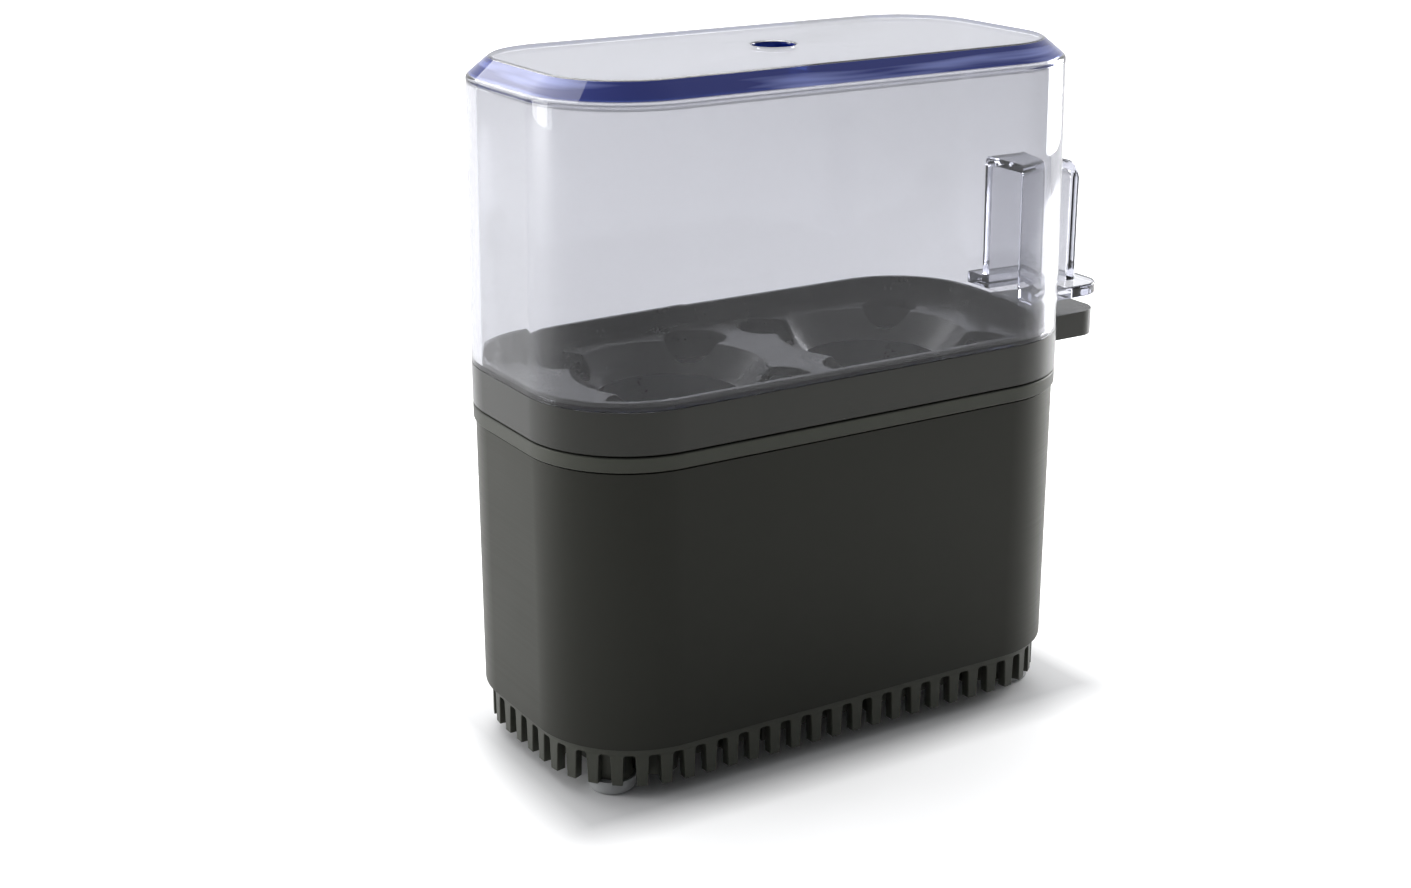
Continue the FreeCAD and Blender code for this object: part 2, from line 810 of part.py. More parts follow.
def clamp_nuts():
    """Two hexagon nuts on the studs."""
    nuts = []
    for x, nut_top in zip(stud_places, nut_levels()):
        blank = hexagon(nut_across_flats, nut_thickness, (x, 0, nut_top - nut_thickness), (0, 0, 1))
        hole = upright(stud_radius + thread_clearance, x, 0, nut_top - nut_thickness - side_slack,
                       nut_top + side_slack)
        nuts.append(blank.cut(hole))
    return nuts


def earth_tag():
    """Ring tag on the second stud, with a tail for the earth lead."""
    x = stud_places[1]
    bottom = tag_top - tag_thickness
    disc = upright(washer_radius, x, 0, bottom, tag_top)
    tail = box((x - tag_width / 2, x + tag_width / 2), (-tag_length, 0), (bottom, tag_top))
    hole = upright(stud_radius + moving_clearance, x, 0, bottom - side_slack, tag_top + side_slack)
    return [one_solid(disc.fuse(tail).cut(hole))]


# ---- thermostat and thermal fuse ---------------------------------------------
def thermostat_cup():
    """Metal cap of the thermostat, flat against the heater plate."""
    return [upright(thermostat_radius, thermostat_x, 0, cup_bottom, heater_bottom)]


def thermostat_strap():
    """Strip that holds the thermostat up against the plate."""
    strip = box((thermostat_x - strap_half_length, thermostat_x + strap_half_length),
                (-strap_half_width, strap_half_width), (strap_bottom, cup_bottom))
    bore = small_screw_radius + thread_clearance
    holes = [upright(bore, x, y, strap_bottom - side_slack, cup_bottom + side_slack)
             for x, y in strap_screw_places()]
    return [one_solid(strip.cut(holes))]


def strap_screws():
    """Two screws up through the strap into the heater plate."""
    reach = heater_bottom + small_screw_depth - strap_bottom
    return [pan_screw(small_screw_radius, small_head_radius, small_head_height, x, y, strap_bottom, reach)
            for x, y in strap_screw_places()]


def thermostat_body():
    """Round body of the bimetal switch."""
    body = upright(thermostat_radius, thermostat_x, 0, thermostat_bottom, strap_bottom)
    edges = bottom_edges(body, thermostat_bottom)
    return [one_solid(body.makeChamfer(thermostat_chamfer, edges))]


def thermostat_tabs():
    """Two flat tabs under the thermostat, one to each side."""
    low = thermostat_bottom - blade_thickness
    tabs = []
    x_range = (thermostat_x - blade_width / 2, thermostat_x + blade_width / 2)
    for side in (-1, 1):
        y_range = sorted((side * thermostat_tab_root, side * thermostat_tab_reach))
        tabs.append(box(x_range, y_range, (low, thermostat_bottom)))
    return tabs


def thermal_fuse():
    """One-shot fuse with its two straight leads."""
    half = fuse_length / 2
    body = rod(fuse_radius, (thermostat_x - half, fuse_y, fuse_z), (thermostat_x + half, fuse_y, fuse_z))
    wire = rod(fuse_lead_radius, (thermostat_x - fuse_lead_reach, fuse_y, fuse_z),
               (thermostat_x + fuse_lead_reach, fuse_y, fuse_z))
    return [one_solid(body.fuse(wire))]


def fuse_sleeve():
    """Glass-fibre sleeve round the fuse."""
    start_x = thermostat_x - fuse_sleeve_length / 2
    end_x = thermostat_x + fuse_sleeve_length / 2
    outer = rod(fuse_sleeve_radius, (start_x, fuse_y, fuse_z), (end_x, fuse_y, fuse_z))
    bore = rod(fuse_sleeve_radius - fuse_sleeve_wall, (start_x - side_slack, fuse_y, fuse_z),
               (end_x + side_slack, fuse_y, fuse_z))
    return [outer.cut(bore)]


def fuse_clip():
    """Hooked strip that carries the fuse sleeve under the plate."""
    inner = fuse_sleeve_radius + thread_clearance
    outer = inner + clip_thickness
    start = thermostat_x - clip_width / 2
    end = thermostat_x + clip_width / 2
    band = rod(outer, (start, fuse_y, fuse_z), (end, fuse_y, fuse_z))
    band = band.cut(rod(inner, (start - side_slack, fuse_y, fuse_z), (end + side_slack, fuse_y, fuse_z)))
    quarter = box((start, end), (fuse_y - thread_clearance, fuse_y + outer), (fuse_z - outer, fuse_z))
    band = band.common(quarter)
    riser = box((start, end), (fuse_y + inner, fuse_y + outer), (fuse_z, heater_bottom))
    foot = box((start, end), (fuse_y + inner, fuse_y + outer + clip_foot),
               (heater_bottom - clip_thickness, heater_bottom))
    x, y = fuse_screw_place()
    hole = upright(small_screw_radius + thread_clearance, x, y, fuse_z, heater_bottom + side_slack)
    return [one_solid(band.fuse([riser, foot]).cut(hole))]


def fuse_screw():
    """Screw that holds the clip."""
    x, y = fuse_screw_place()
    seat = heater_bottom - clip_thickness
    reach = clip_thickness + small_screw_depth
    return [pan_screw(small_screw_radius, clip_foot / 2, small_head_height, x, y, seat, reach)]


# ---- heat shield -------------------------------------------------------------
def shield_wire_places():
    """Where leads pass up through the shield."""
    return [(switch_riser_x, 0), (neutral_riser_x, -leg_y), earth_riser]


def heat_shield():
    """Sheet plate on the posts, between the heater and the wiring."""
    plate = prism(inset(rim, shield_inset), post_top, shield_top)
    holes = [upright(screw_radius + thread_clearance, x, y, post_top - side_slack, shield_top + side_slack)
             for x, y in post_places]
    holes += [upright(wire_hole_radius, x, y, post_top - side_slack, shield_top + side_slack)
              for x, y in shield_wire_places()]
    return [one_solid(plate.cut(holes))]


def shield_screws():
    """Four screws down through the shield into the posts."""
    return [pan_screw(screw_radius, screw_head_radius, screw_head_height, x, y, shield_top,
                      -(shield_screw_reach + shield_thickness)) for x, y in post_places]


# ---- terminal block ----------------------------------------------------------
def clamp_screw_places():
    """Two clamp screws over each pole."""
    return [(x, block_y + side * clamp_screw_offset) for x in pole_places for side in (-1, 1)]


def terminal_block():
    """Three-pole block on two bosses of the base."""
    body = box((block_x - block_length / 2, block_x + block_length / 2),
               (block_y - block_depth / 2, block_y + block_depth / 2), (block_bottom, block_top))
    cuts = [rod(insert_radius + thread_clearance, (x, block_y - block_depth, pole_z),
                (x, block_y + block_depth, pole_z)) for x in pole_places]
    cuts += [upright(clamp_screw_radius + thread_clearance, x, y, pole_z, block_top + side_slack)
             for x, y in clamp_screw_places()]
    cuts += [upright(block_screw_radius + thread_clearance, x, block_y, block_bottom - side_slack,
                     block_top + side_slack) for x in block_screw_places]
    return [one_solid(body.cut(cuts))]


def terminal_inserts():
    """Brass tubes of the terminal block."""
    half = block_depth / 2 - insert_end
    inserts = []
    for x in pole_places:
        tube = rod(insert_radius, (x, block_y - half, pole_z), (x, block_y + half, pole_z))
        cuts = [rod(insert_bore, (x, block_y - block_depth, pole_z), (x, block_y + block_depth, pole_z))]
        cuts += [upright(clamp_screw_radius + thread_clearance, x, y, pole_z, block_top)
                 for y in (block_y - clamp_screw_offset, block_y + clamp_screw_offset)]
        inserts.append(one_solid(tube.cut(cuts)))
    return inserts


def terminal_screws():
    """Slotted clamp screws of the terminal block."""
    top = block_top - clamp_screw_recess
    screws = []
    for x, y in clamp_screw_places():
        pin = upright(clamp_screw_radius, x, y, pole_z + wire_radius + wire_gap, top)
        slot = box((x - clamp_screw_radius, x + clamp_screw_radius),
                   (y - drive_width / 4, y + drive_width / 4), (top - drive_depth / 2, top + side_slack))
        screws.append(one_solid(pin.cut(slot)))
    return screws


def block_screws():
    """Two screws that hold the terminal block to the base."""
    reach = -(block_top - plate_bottom - side_slack)
    return [pan_screw(block_screw_radius, block_screw_head, block_screw_head_height,
                      x, block_y, block_top, reach) for x in block_screw_places]


# ---- cord gland --------------------------------------------------------------
def cord_gland():
    """Bush for the mains lead: outer flange, barrel through the wall and a thread inside."""
    inner_y = frame_face_y - gland_inner_length
    outer_y = sleeve_face_y + gland_flange_thickness
    flange = rod(gland_flange_radius, (gland_x, sleeve_face_y, gland_z), (gland_x, outer_y, gland_z))
    rounded = [edge for edge in flange.Edges if edge.BoundBox.YMin > outer_y - 1e-6]
    flange = flange.makeFillet(gland_flange_thickness / 2, rounded)
    barrel = rod(gland_barrel_radius, (gland_x, inner_y, gland_z), (gland_x, sleeve_face_y, gland_z))
    bore = rod(gland_bore_radius, (gland_x, inner_y - side_slack, gland_z),
               (gland_x, outer_y + side_slack, gland_z))
    return [one_solid(flange.fuse(barrel).cut(bore))]


def gland_nut():
    """Hexagon nut that draws the gland against the inside of the wall."""
    start_y = frame_face_y - gland_nut_thickness - wire_gap
    blank = hexagon(gland_nut_flats, gland_nut_thickness, (gland_x, start_y, gland_z), (0, 1, 0))
    hole = rod(gland_barrel_radius + thread_clearance, (gland_x, start_y - side_slack, gland_z),
               (gland_x, frame_face_y + side_slack, gland_z))
    return [blank.cut(hole)]


# ---- rocker switch -----------------------------------------------------------
def switch_housing():
    """Body of the rocker switch, with a bezel that rests on the sleeve."""
    body = box((switch_back_x, sleeve_face_x), (-switch_half_width, switch_half_width),
               (switch_z - switch_half_height, switch_z + switch_half_height))
    bezel = box((sleeve_face_x, bezel_face_x), (-bezel_half_width, bezel_half_width),
                (switch_z - bezel_half_height, switch_z + bezel_half_height))
    along_x = [edge for edge in bezel.Edges if edge.BoundBox.XLength > bezel_thickness / 2]
    bezel = bezel.makeFillet(bezel_corner, along_x)
    well = box((pivot_x - well_depth, bezel_face_x + side_slack), (-well_half_width, well_half_width),
               (switch_z - well_half_height, switch_z + well_half_height))
    lamp_room = lamp_radius + lamp_pocket_clearance
    lamp_x = sleeve_face_x - lamp_setback
    lamp_reach = lamp_length / 2 + lamp_pocket_clearance
    pocket = box((lamp_x - lamp_room, pivot_x), (-lamp_room, lamp_room),
                 (switch_z - lamp_reach, switch_z + lamp_reach))
    pin_hole = rocker_pin_radius + pin_clearance
    pin_reach = rocker_pin_end + pin_clearance
    pivot = rod(pin_hole, (pivot_x, -pin_reach, switch_z), (pivot_x, pin_reach, switch_z))
    slot_half_width = blade_width / 2 + blade_clearance
    slot_half_height = blade_thickness / 2 + blade_clearance
    slot_x = (switch_back_x - side_slack, switch_back_x + blade_grip)
    slots = [box(slot_x, (-slot_half_width, slot_half_width), (z - slot_half_height, z + slot_half_height))
             for z in blade_levels]
    return [one_solid(body.fuse(bezel).cut([well, pocket, pivot] + slots))]


def switch_terminals():
    """Three flat blades at the back of the switch."""
    return [box((blade_end_x, blade_end_x + blade_length), (-blade_width / 2, blade_width / 2),
                (z - blade_thickness / 2, z + blade_thickness / 2)) for z in blade_levels]


def switch_lamp():
    """Small glow lamp behind the rocker."""
    x = sleeve_face_x - lamp_setback
    lamp = upright(lamp_radius, x, 0, switch_z - lamp_length / 2, switch_z + lamp_length / 2)
    ends = [edge for edge in lamp.Edges if edge.BoundBox.ZLength < 1e-6]
    return [one_solid(lamp.makeFillet(lamp_end_rounding, ends))]


def rocker_profile(points, half_width):
    """A block from a profile in the rocker's own plane: out of the wall and up."""
    corners = [Vector(pivot_x + out, -half_width, switch_z + up) for out, up in points]
    face = Part.Face(Part.makePolygon(corners + corners[:1]))
    return face.extrude(Vector(0, 2 * half_width, 0))


def tipped(shape):
    """The rocker's off position: its upper end stands out."""
    shape.rotate(Vector(pivot_x, 0, switch_z), Vector(0, 1, 0), rocker_tilt)
    return shape


def lens_block(clearance):
    """The window's block, sunk into the rocker's upper face."""
    slope = (rocker_end_rise - rocker_middle_rise) / rocker_half_height
    low = lens_low - clearance
    high = lens_high + clearance
    face_low = rocker_middle_rise + slope * low
    face_high = rocker_middle_rise + slope * high
    depth = lens_thickness + clearance
    points = [(face_low - depth, low), (face_low, low), (face_high, high), (face_high - depth, high)]
    return rocker_profile(points, lens_half_width + clearance)


def switch_rocker():
    """The rocker: two shallow faces, a round belly and a stub pin at each side."""
    back_corner = Vector(pivot_x - rocker_back, -rocker_half_width, switch_z + rocker_half_height)
    belly = Vector(pivot_x - rocker_belly, -rocker_half_width, switch_z)
    other_corner = Vector(pivot_x - rocker_back, -rocker_half_width, switch_z - rocker_half_height)
    front = [(rocker_end_rise, -rocker_half_height), (rocker_middle_rise, 0),
             (rocker_end_rise, rocker_half_height)]
    front_points = [Vector(pivot_x + out, -rocker_half_width, switch_z + up) for out, up in front]
    chain = [other_corner] + front_points + [back_corner]
    edges = [Part.LineSegment(a, b).toShape() for a, b in zip(chain, chain[1:])]
    edges.append(Part.Arc(back_corner, belly, other_corner).toShape())
    body = Part.Face(Part.Wire(edges)).extrude(Vector(0, 2 * rocker_half_width, 0))
    pins = rod(rocker_pin_radius, (pivot_x, -rocker_pin_end, switch_z), (pivot_x, rocker_pin_end, switch_z))
    room = lens_block(lens_clearance)
    above = room.translated(Vector(lens_thickness, 0, 0))
    return [tipped(one_solid(body.fuse(pins).cut([room, above])))]


def rocker_lens():
    """Small window in the rocker's upper face."""
    return [tipped(lens_block(0.0))]


# ---- leads -------------------------------------------------------------------
pole_face_y = block_y - block_depth / 2 + wire_entry
switch_riser_x = blade_end_x - switch_riser_gap
neutral_riser_x = pin_end_x - neutral_riser_gap
earth_riser = (block_x, earth_riser_y)


def wire_switch_feed():
    """From the block's live pole to the switch's lower blade."""
    x = pole_places[2]
    z = blade_levels[0]
    points = [(x, pole_face_y, pole_z), (x, 0, pole_z), (x + feed_turn_length, 0, z),
              (blade_end_x - wire_gap, 0, z)]
    return [lead(points, wire_radius)]


def wire_switch_out():
    """From the switch's middle blade up to the thermostat's front tab."""
    z = blade_levels[1]
    points = [(blade_end_x - wire_gap, 0, z), (switch_riser_x, 0, z), (switch_riser_x, 0, tab_blade_z),
              (switch_riser_x, front_lead_y, tab_blade_z), (thermostat_x, front_lead_y, tab_blade_z),
              (thermostat_x, -thermostat_tab_reach - wire_gap, tab_blade_z)]
    return [lead(points, wire_radius)]


def wire_fuse_link():
    """From the thermostat's rear tab to the thermal fuse."""
    end_x = thermostat_x + fuse_lead_reach + wire_radius + wire_gap
    points = [(thermostat_x, thermostat_tab_reach + wire_gap, tab_blade_z),
              (thermostat_x, rear_lead_y, tab_blade_z), (end_x, rear_lead_y, tab_blade_z),
              (end_x, rear_lead_y, fuse_z), (end_x, fuse_y - wire_radius, fuse_z)]
    return [lead(points, wire_radius)]


def wire_heater_live():
    """From the thermal fuse to the element's rear pin."""
    start_x = thermostat_x - fuse_lead_reach - wire_gap
    turn = (pin_end_x + live_turn_length, fuse_y + live_turn_out, fuse_z + live_turn_rise)
    points = [(start_x, fuse_y, fuse_z), turn, (neutral_riser_x, fuse_y, heater_bottom - live_sag),
              (neutral_riser_x, leg_y, heater_bottom),
              (pin_end_x - wire_gap, leg_y, heater_bottom)]
    return [lead(points, wire_radius)]


def wire_neutral():
    """From the block's neutral pole along the front and up to the element's front pin."""
    x = pole_places[0]
    points = [(x, pole_face_y, pole_z), (x, neutral_turn_y, pole_z), (neutral_riser_x, -leg_y, pole_z),
              (neutral_riser_x, -leg_y, heater_bottom), (pin_end_x - wire_gap, -leg_y, heater_bottom)]
    return [lead(points, wire_radius)]


def wire_earth():
    """From the block's earth pole up to the tag on the second stud."""
    x, y = earth_riser
    tag_x = stud_places[1]
    points = [(x, pole_face_y, pole_z), (x, y, pole_z), (x, y, tag_z), (tag_x, y, tag_z),
              (tag_x, -tag_length - wire_gap, tag_z)]
    return [lead(points, wire_radius)]


# ---- egg tray ----------------------------------------------------------------
def egg_tray():
    """Lift-out tray: outer ring, sunk floor, two lobed seats and a tab to lift it by."""
    floor_top = rim_level - tray_floor_depth
    floor_bottom = floor_top - tray_floor_thickness
    inner = inset(rim, ring_wall)
    skirt = inset(recess, moving_clearance)
    lip = inset(rim, lid_wall + lip_clearance)
    parts = [ring(rim, inset(rim, ring_lower_wall), ring_bottom, floor_top),
             prism(inner, floor_bottom, floor_top),
             ring(skirt, inset(skirt, skirt_width), dish_top, floor_top),
             ring(lip, inset(lip, lip_width), floor_top, rim_level + lip_height)]
    body = ring(rim, inner, floor_bottom, rim_level).fuse(parts)

    seat_low = floor_top - seat_depth
    wall_run = seat_top_radius + seat_wall
    wall_low_run = seat_bottom_radius + seat_wall
    funnel_height = seat_depth - tray_floor_thickness / 2
    for x in seat_places:
        funnel = Part.makeCone(wall_low_run, wall_run, funnel_height, Vector(x, 0, seat_low))
        body = body.fuse(funnel)
    for x in seat_places:
        room = Part.makeCone(seat_bottom_radius, seat_top_radius, seat_depth, Vector(x, 0, seat_low))
        above = upright(seat_top_radius, x, 0, floor_top, rim_level + side_slack)
        below = upright(seat_bottom_radius, x, 0, seat_low - side_slack, seat_low)
        lobes = []
        for turn in range(4):
            angle = math.radians(45 + 90 * turn)
            lobes.append(upright(lobe_radius, x + lobe_reach * math.cos(angle), lobe_reach * math.sin(angle),
                                 seat_low - side_slack, floor_top + side_slack))
        body = body.cut([room, above, below] + lobes)

    tab_top = rim_level - tab_drop
    start = rim[0] - ring_lower_wall / 2
    tab = rounded_block((start, rim[0] + tab_length), tab_half_width, (tab_top - tab_thickness, tab_top),
                        tab_corner)
    hollow = rounded_block((rim[0] + tab_wall, rim[0] + tab_length - tab_wall), tab_half_width - tab_wall,
                           (tab_top - tab_thickness - side_slack, tab_top - tab_wall), tab_corner - tab_wall)
    return [one_solid(body.fuse(tab.cut(prism(inner, 0, lid_top))).cut(hollow))]


# ---- lid ---------------------------------------------------------------------
def lid():
    """Clear lid in one moulding: drafted wall, bevelled top, steam hole and hollow grip."""
    shoulder = inset(rim, lid_draft)
    wall = tapered(rim, rim_level, shoulder, lid_shoulder)
    cap = tapered(shoulder, lid_shoulder, inset(shoulder, bevel_run), lid_top)
    inside_low = inset(rim, lid_wall)
    inside_high = inset(shoulder, lid_wall)
    ceiling = lid_top - lid_top_thickness
    hollow = tapered(inside_low, rim_level, inside_high, ceiling)
    mouth = prism(inside_low, rim_level - side_slack, rim_level)

    grip_low = rim_level + guard_rise
    grip_high = rim_level + grip_height
    start = rim[0] - lid_wall / 2
    grip = grip_block((start, rim[0] + grip_length), grip_half_width, (grip_low, grip_high),
                      grip_top_rounding, grip_edge_rounding)
    guard = rounded_block((start, rim[0] + guard_length), guard_half_width,
                          (grip_low, grip_low + guard_thickness), guard_corner)
    grip_room = grip_block((rim[0] + grip_room_gap, rim[0] + grip_length - grip_wall),
                           grip_half_width - grip_wall, (grip_low - side_slack, grip_high - grip_wall),
                           grip_top_rounding - grip_wall, grip_room_rounding)
    steam = upright(steam_hole_radius, 0, 0, ceiling - side_slack, lid_top + side_slack)
    flare = Part.makeCone(steam_hole_radius, steam_hole_radius + steam_hole_flare, steam_hole_flare,
                          Vector(0, 0, lid_top - steam_hole_flare))
    body = wall.fuse([cap, grip, guard]).cut([hollow, mouth, grip_room, steam, flare])
    return [one_solid(body)]


nodes = {
    "base_cover": base_cover,
    "rubber_feet": rubber_feet,
    "base_screws": base_screws,
    "outer_sleeve": outer_sleeve,
    "housing_frame": housing_frame,
    "heating_dish": heating_dish,
    "dish_gasket": dish_gasket,
    "heater_plate": heater_plate,
    "heater_element": heater_element,
    "heater_insulators": heater_insulators,
    "heater_pins": heater_pins,
    "clamp_studs": clamp_studs,
    "clamp_bridges": clamp_bridges,
    "clamp_washers": clamp_washers,
    "clamp_nuts": clamp_nuts,
    "earth_tag": earth_tag,
    "thermostat_cup": thermostat_cup,
    "thermostat_strap": thermostat_strap,
    "strap_screws": strap_screws,
    "thermostat_body": thermostat_body,
    "thermostat_tabs": thermostat_tabs,
    "thermal_fuse": thermal_fuse,
    "fuse_sleeve": fuse_sleeve,
    "fuse_clip": fuse_clip,
    "fuse_screw": fuse_screw,
    "heat_shield": heat_shield,
    "shield_screws": shield_screws,
    "terminal_block": terminal_block,
    "terminal_inserts": terminal_inserts,
    "terminal_screws": terminal_screws,
    "block_screws": block_screws,
    "cord_gland": cord_gland,
    "gland_nut": gland_nut,
    "switch_housing": switch_housing,
    "switch_terminals": switch_terminals,
    "switch_lamp": switch_lamp,
    "switch_rocker": switch_rocker,
    "rocker_lens": rocker_lens,
    "wire_switch_feed": wire_switch_feed,
    "wire_switch_out": wire_switch_out,
    "wire_fuse_link": wire_fuse_link,
    "wire_heater_live": wire_heater_live,
    "wire_neutral": wire_neutral,
    "wire_earth": wire_earth,
    "egg_tray": egg_tray,
    "lid": lid,
}

os.makedirs("parts", exist_ok=True)
for name, make in nodes.items():
    solids = make()
    shape = solids[0] if len(solids) == 1 else Part.makeCompound(solids)
    shape.exportStep("parts/" + name + ".step")
    print(name, "solids", len(shape.Solids), "valid", shape.isValid(), "volume", round(shape.Volume, 1))
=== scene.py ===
# %% [markdown]
# # A two-egg cooker: from the machine model to the finished look
#
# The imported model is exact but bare: every solid is there at its real size, in plain colours.
# This lesson dresses it. The dark shells get softened edges and real finishes, the clear lid is
# built again as one thick moulding that light can pass through, and the comb round the base is
# grown by a rule. Nothing is resized: each new piece takes its place from the model's own boxes.

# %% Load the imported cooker
import contextlib
import functools
import json
import math

import bmesh
import bpy
from mathutils import Matrix, Vector


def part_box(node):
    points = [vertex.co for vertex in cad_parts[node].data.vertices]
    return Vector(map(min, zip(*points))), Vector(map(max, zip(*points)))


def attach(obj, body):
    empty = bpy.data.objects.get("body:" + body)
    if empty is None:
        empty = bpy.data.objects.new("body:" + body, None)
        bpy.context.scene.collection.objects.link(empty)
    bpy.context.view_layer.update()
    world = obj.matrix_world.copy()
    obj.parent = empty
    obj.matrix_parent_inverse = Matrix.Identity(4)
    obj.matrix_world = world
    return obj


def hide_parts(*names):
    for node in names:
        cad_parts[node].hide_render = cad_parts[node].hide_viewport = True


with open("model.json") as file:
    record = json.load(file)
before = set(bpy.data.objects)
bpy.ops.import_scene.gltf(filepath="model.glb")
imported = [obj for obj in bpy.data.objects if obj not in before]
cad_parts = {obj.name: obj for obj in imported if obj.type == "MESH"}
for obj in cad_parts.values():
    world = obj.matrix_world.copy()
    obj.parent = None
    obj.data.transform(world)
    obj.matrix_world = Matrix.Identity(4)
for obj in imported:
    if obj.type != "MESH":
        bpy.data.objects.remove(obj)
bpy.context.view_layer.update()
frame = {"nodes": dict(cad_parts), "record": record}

nodes = frame["nodes"]
record = frame["record"]
slot_of = {part["node"]: part["material_slot"] for part in record["subparts"]}
print("pieces in the model:", len(nodes))

# %% [markdown]
# ## Sizes that the pieces share
#
# A cooker like this is one outline, a rectangle with round corners, drawn in a little more or a
# little less at each level. So the lesson keeps one outline and one way to draw it in. Its sizes
# come from the boxes of the model's pieces, and a box can't tell only the corner radius.

# %% The outline and its levels
MM = 0.001

band_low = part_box("housing_frame")[0]
rim_half_length = -band_low.x
rim_half_width = -band_low.y
rim_corner = 22.8 * MM

lid_low, lid_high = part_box("lid")
base_low, base_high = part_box("base_cover")


def drawn_in(distance):
    """Half length, half width and corner radius of the outline, drawn in by a distance."""
    return rim_half_length - distance, rim_half_width - distance, rim_corner - distance


def outline_points(outline, steps, z):
    """Points round an outline, anticlockwise from the middle of the +X side."""
    half_length, half_width, radius = outline
    straight_x, straight_y = half_length - radius, half_width - radius
    points = []
    for turn, (side_x, side_y) in enumerate(((1, 1), (-1, 1), (-1, -1), (1, -1))):
        for step in range(steps + 1):
            angle = math.pi / 2 * (turn + step / steps)
            points.append(Vector((side_x * straight_x + radius * math.cos(angle),
                                  side_y * straight_y + radius * math.sin(angle), z)))
    return points


print("rim outline in mm:", [round(v / MM, 2) for v in drawn_in(0)])

# %% [markdown]
# ## How a finish is mixed
#
# Real surfaces are never one colour. Moulded plastic has a fine spark-eroded grain, cast metal
# has dull patches, brushed sheet has thousands of hair-thin lines. All of these are noise at the
# right size, so one recipe serves: a coarse noise moves the colour and the gloss a little, and a
# fine noise, squeezed along one axis where the finish has a direction, lifts and lowers the skin.
# The noise is read in object coordinates, so it stays put when a piece moves.

# %% One recipe for every finish
def feed(tree, socket, source):
    """Links a socket to a source, or sets it if the source is a plain value."""
    if isinstance(source, bpy.types.NodeSocket):
        tree.links.new(source, socket)
    else:
        socket.default_value = source


def put(tree, kind, **inputs):
    """Adds a node and feeds its inputs, or sets its settings, by name."""
    made = tree.nodes.new(kind)
    for name, value in inputs.items():
        if name in made.bl_rna.properties:
            setattr(made, name, value)
        else:
            feed(tree, made.inputs[name.replace("_", " ")], value)
    return made


def joined(tree, kind, *sources, **settings):
    """Adds a node and feeds its inputs in order, where None leaves an input as it is."""
    made = tree.nodes.new(kind)
    for name, value in settings.items():
        setattr(made, name, value)
    for place, source in enumerate(sources):
        if source is not None:
            feed(tree, made.inputs[place], source)
    return made


def maths(tree, operation, *sources):
    """The result of one step of arithmetic."""
    return joined(tree, "ShaderNodeMath", *sources, operation=operation).outputs[0]


def vectors(tree, operation, *sources, gives="Vector"):
    """The result of one step of arithmetic with vectors."""
    return joined(tree, "ShaderNodeVectorMath", *sources, operation=operation).outputs[gives]


def ranged(tree, source, start, end, low=0.0, high=1.0, **settings):
    """Spreads a value that runs from start to end over the span from low to high."""
    return put(tree, "ShaderNodeMapRange", Value=source, From_Min=start, From_Max=end, To_Min=low,
               To_Max=high, **settings).outputs["Result"]


def mixed(tree, share, first, second):
    """A colour that goes from the first to the second as a share goes from 0 to 1."""
    made = put(tree, "ShaderNodeMix", data_type="RGBA")
    for place, source in ((0, share), (6, first), (7, second)):
        feed(tree, made.inputs[place], source)
    return made.outputs[2]


def noise(tree, place, scale, detail, roughness):
    """How high a noise stands at a place."""
    return put(tree, "ShaderNodeTexNoise", Vector=place, Scale=scale, Detail=detail,
               Roughness=roughness).outputs["Fac"]


def blank(name):
    """A new material with an empty tree but for the place in object coordinates."""
    material = bpy.data.materials.new(name)
    material.use_nodes = True
    tree = material.node_tree
    tree.nodes.clear()
    return material, tree, put(tree, "ShaderNodeTexCoord").outputs["Object"]


def found(material):
    """The tree of a finish, with its shader and its place in object coordinates."""
    tree = material.node_tree
    shader = next(node for node in tree.nodes if node.type == "BSDF_PRINCIPLED")
    place = next(node for node in tree.nodes if node.type == "TEX_COORD")
    return tree, shader, place.outputs["Object"]


def finish_of(name, colour, gloss, metal=0.0, grain=900.0, grain_depth=0.02, squeeze=(1.0, 1.0, 1.0),
              patches=60.0, colour_change=0.12, gloss_change=0.06, bump_reach=0.1, **fixed):
    """A finish: colour and roughness that wander a little, over a grained skin."""
    material, tree, place = blank(name)
    wide = noise(tree, place, patches, 3.0, 0.6)
    squashed = put(tree, "ShaderNodeMapping", Vector=place, Scale=squeeze).outputs["Vector"]
    fine = noise(tree, squashed, grain, 4.0, 0.65)
    darker = [channel * (1 - colour_change) for channel in colour] + [1.0]
    lighter = [min(channel * (1 + colour_change), 1.0) for channel in colour] + [1.0]
    skin = put(tree, "ShaderNodeBump", Strength=bump_reach, Distance=grain_depth * MM, Height=fine)
    shader = put(
        tree, "ShaderNodeBsdfPrincipled", Metallic=metal, Normal=skin.outputs["Normal"],
        Base_Color=mixed(tree, wide, darker, lighter),
        Roughness=ranged(tree, maths(tree, "ADD", wide, fine), 0.6, 1.4,
                         max(gloss - gloss_change, 0.0), gloss + gloss_change), **fixed)
    put(tree, "ShaderNodeOutputMaterial", Surface=shader.outputs["BSDF"])
    return material


dark_grain = finish_of("dark_grained_plastic", (0.048, 0.051, 0.042), 0.42, grain=1500, grain_depth=0.03,
                       bump_reach=0.35, IOR=1.45, Specular_Tint=(1.0, 1.0, 0.88, 1.0))
print("first finish mixed:", dark_grain.name)

# %% [markdown]
# ## The brushed sleeve
#
# The body is wrapped in thin sheet that was brushed along its length and then given a dark coat.
# Each hair line runs level round the body, so the noise is stretched along X and Y and packed
# tight along Z. A little metal in the shader lets the sheet reflect through its coat.

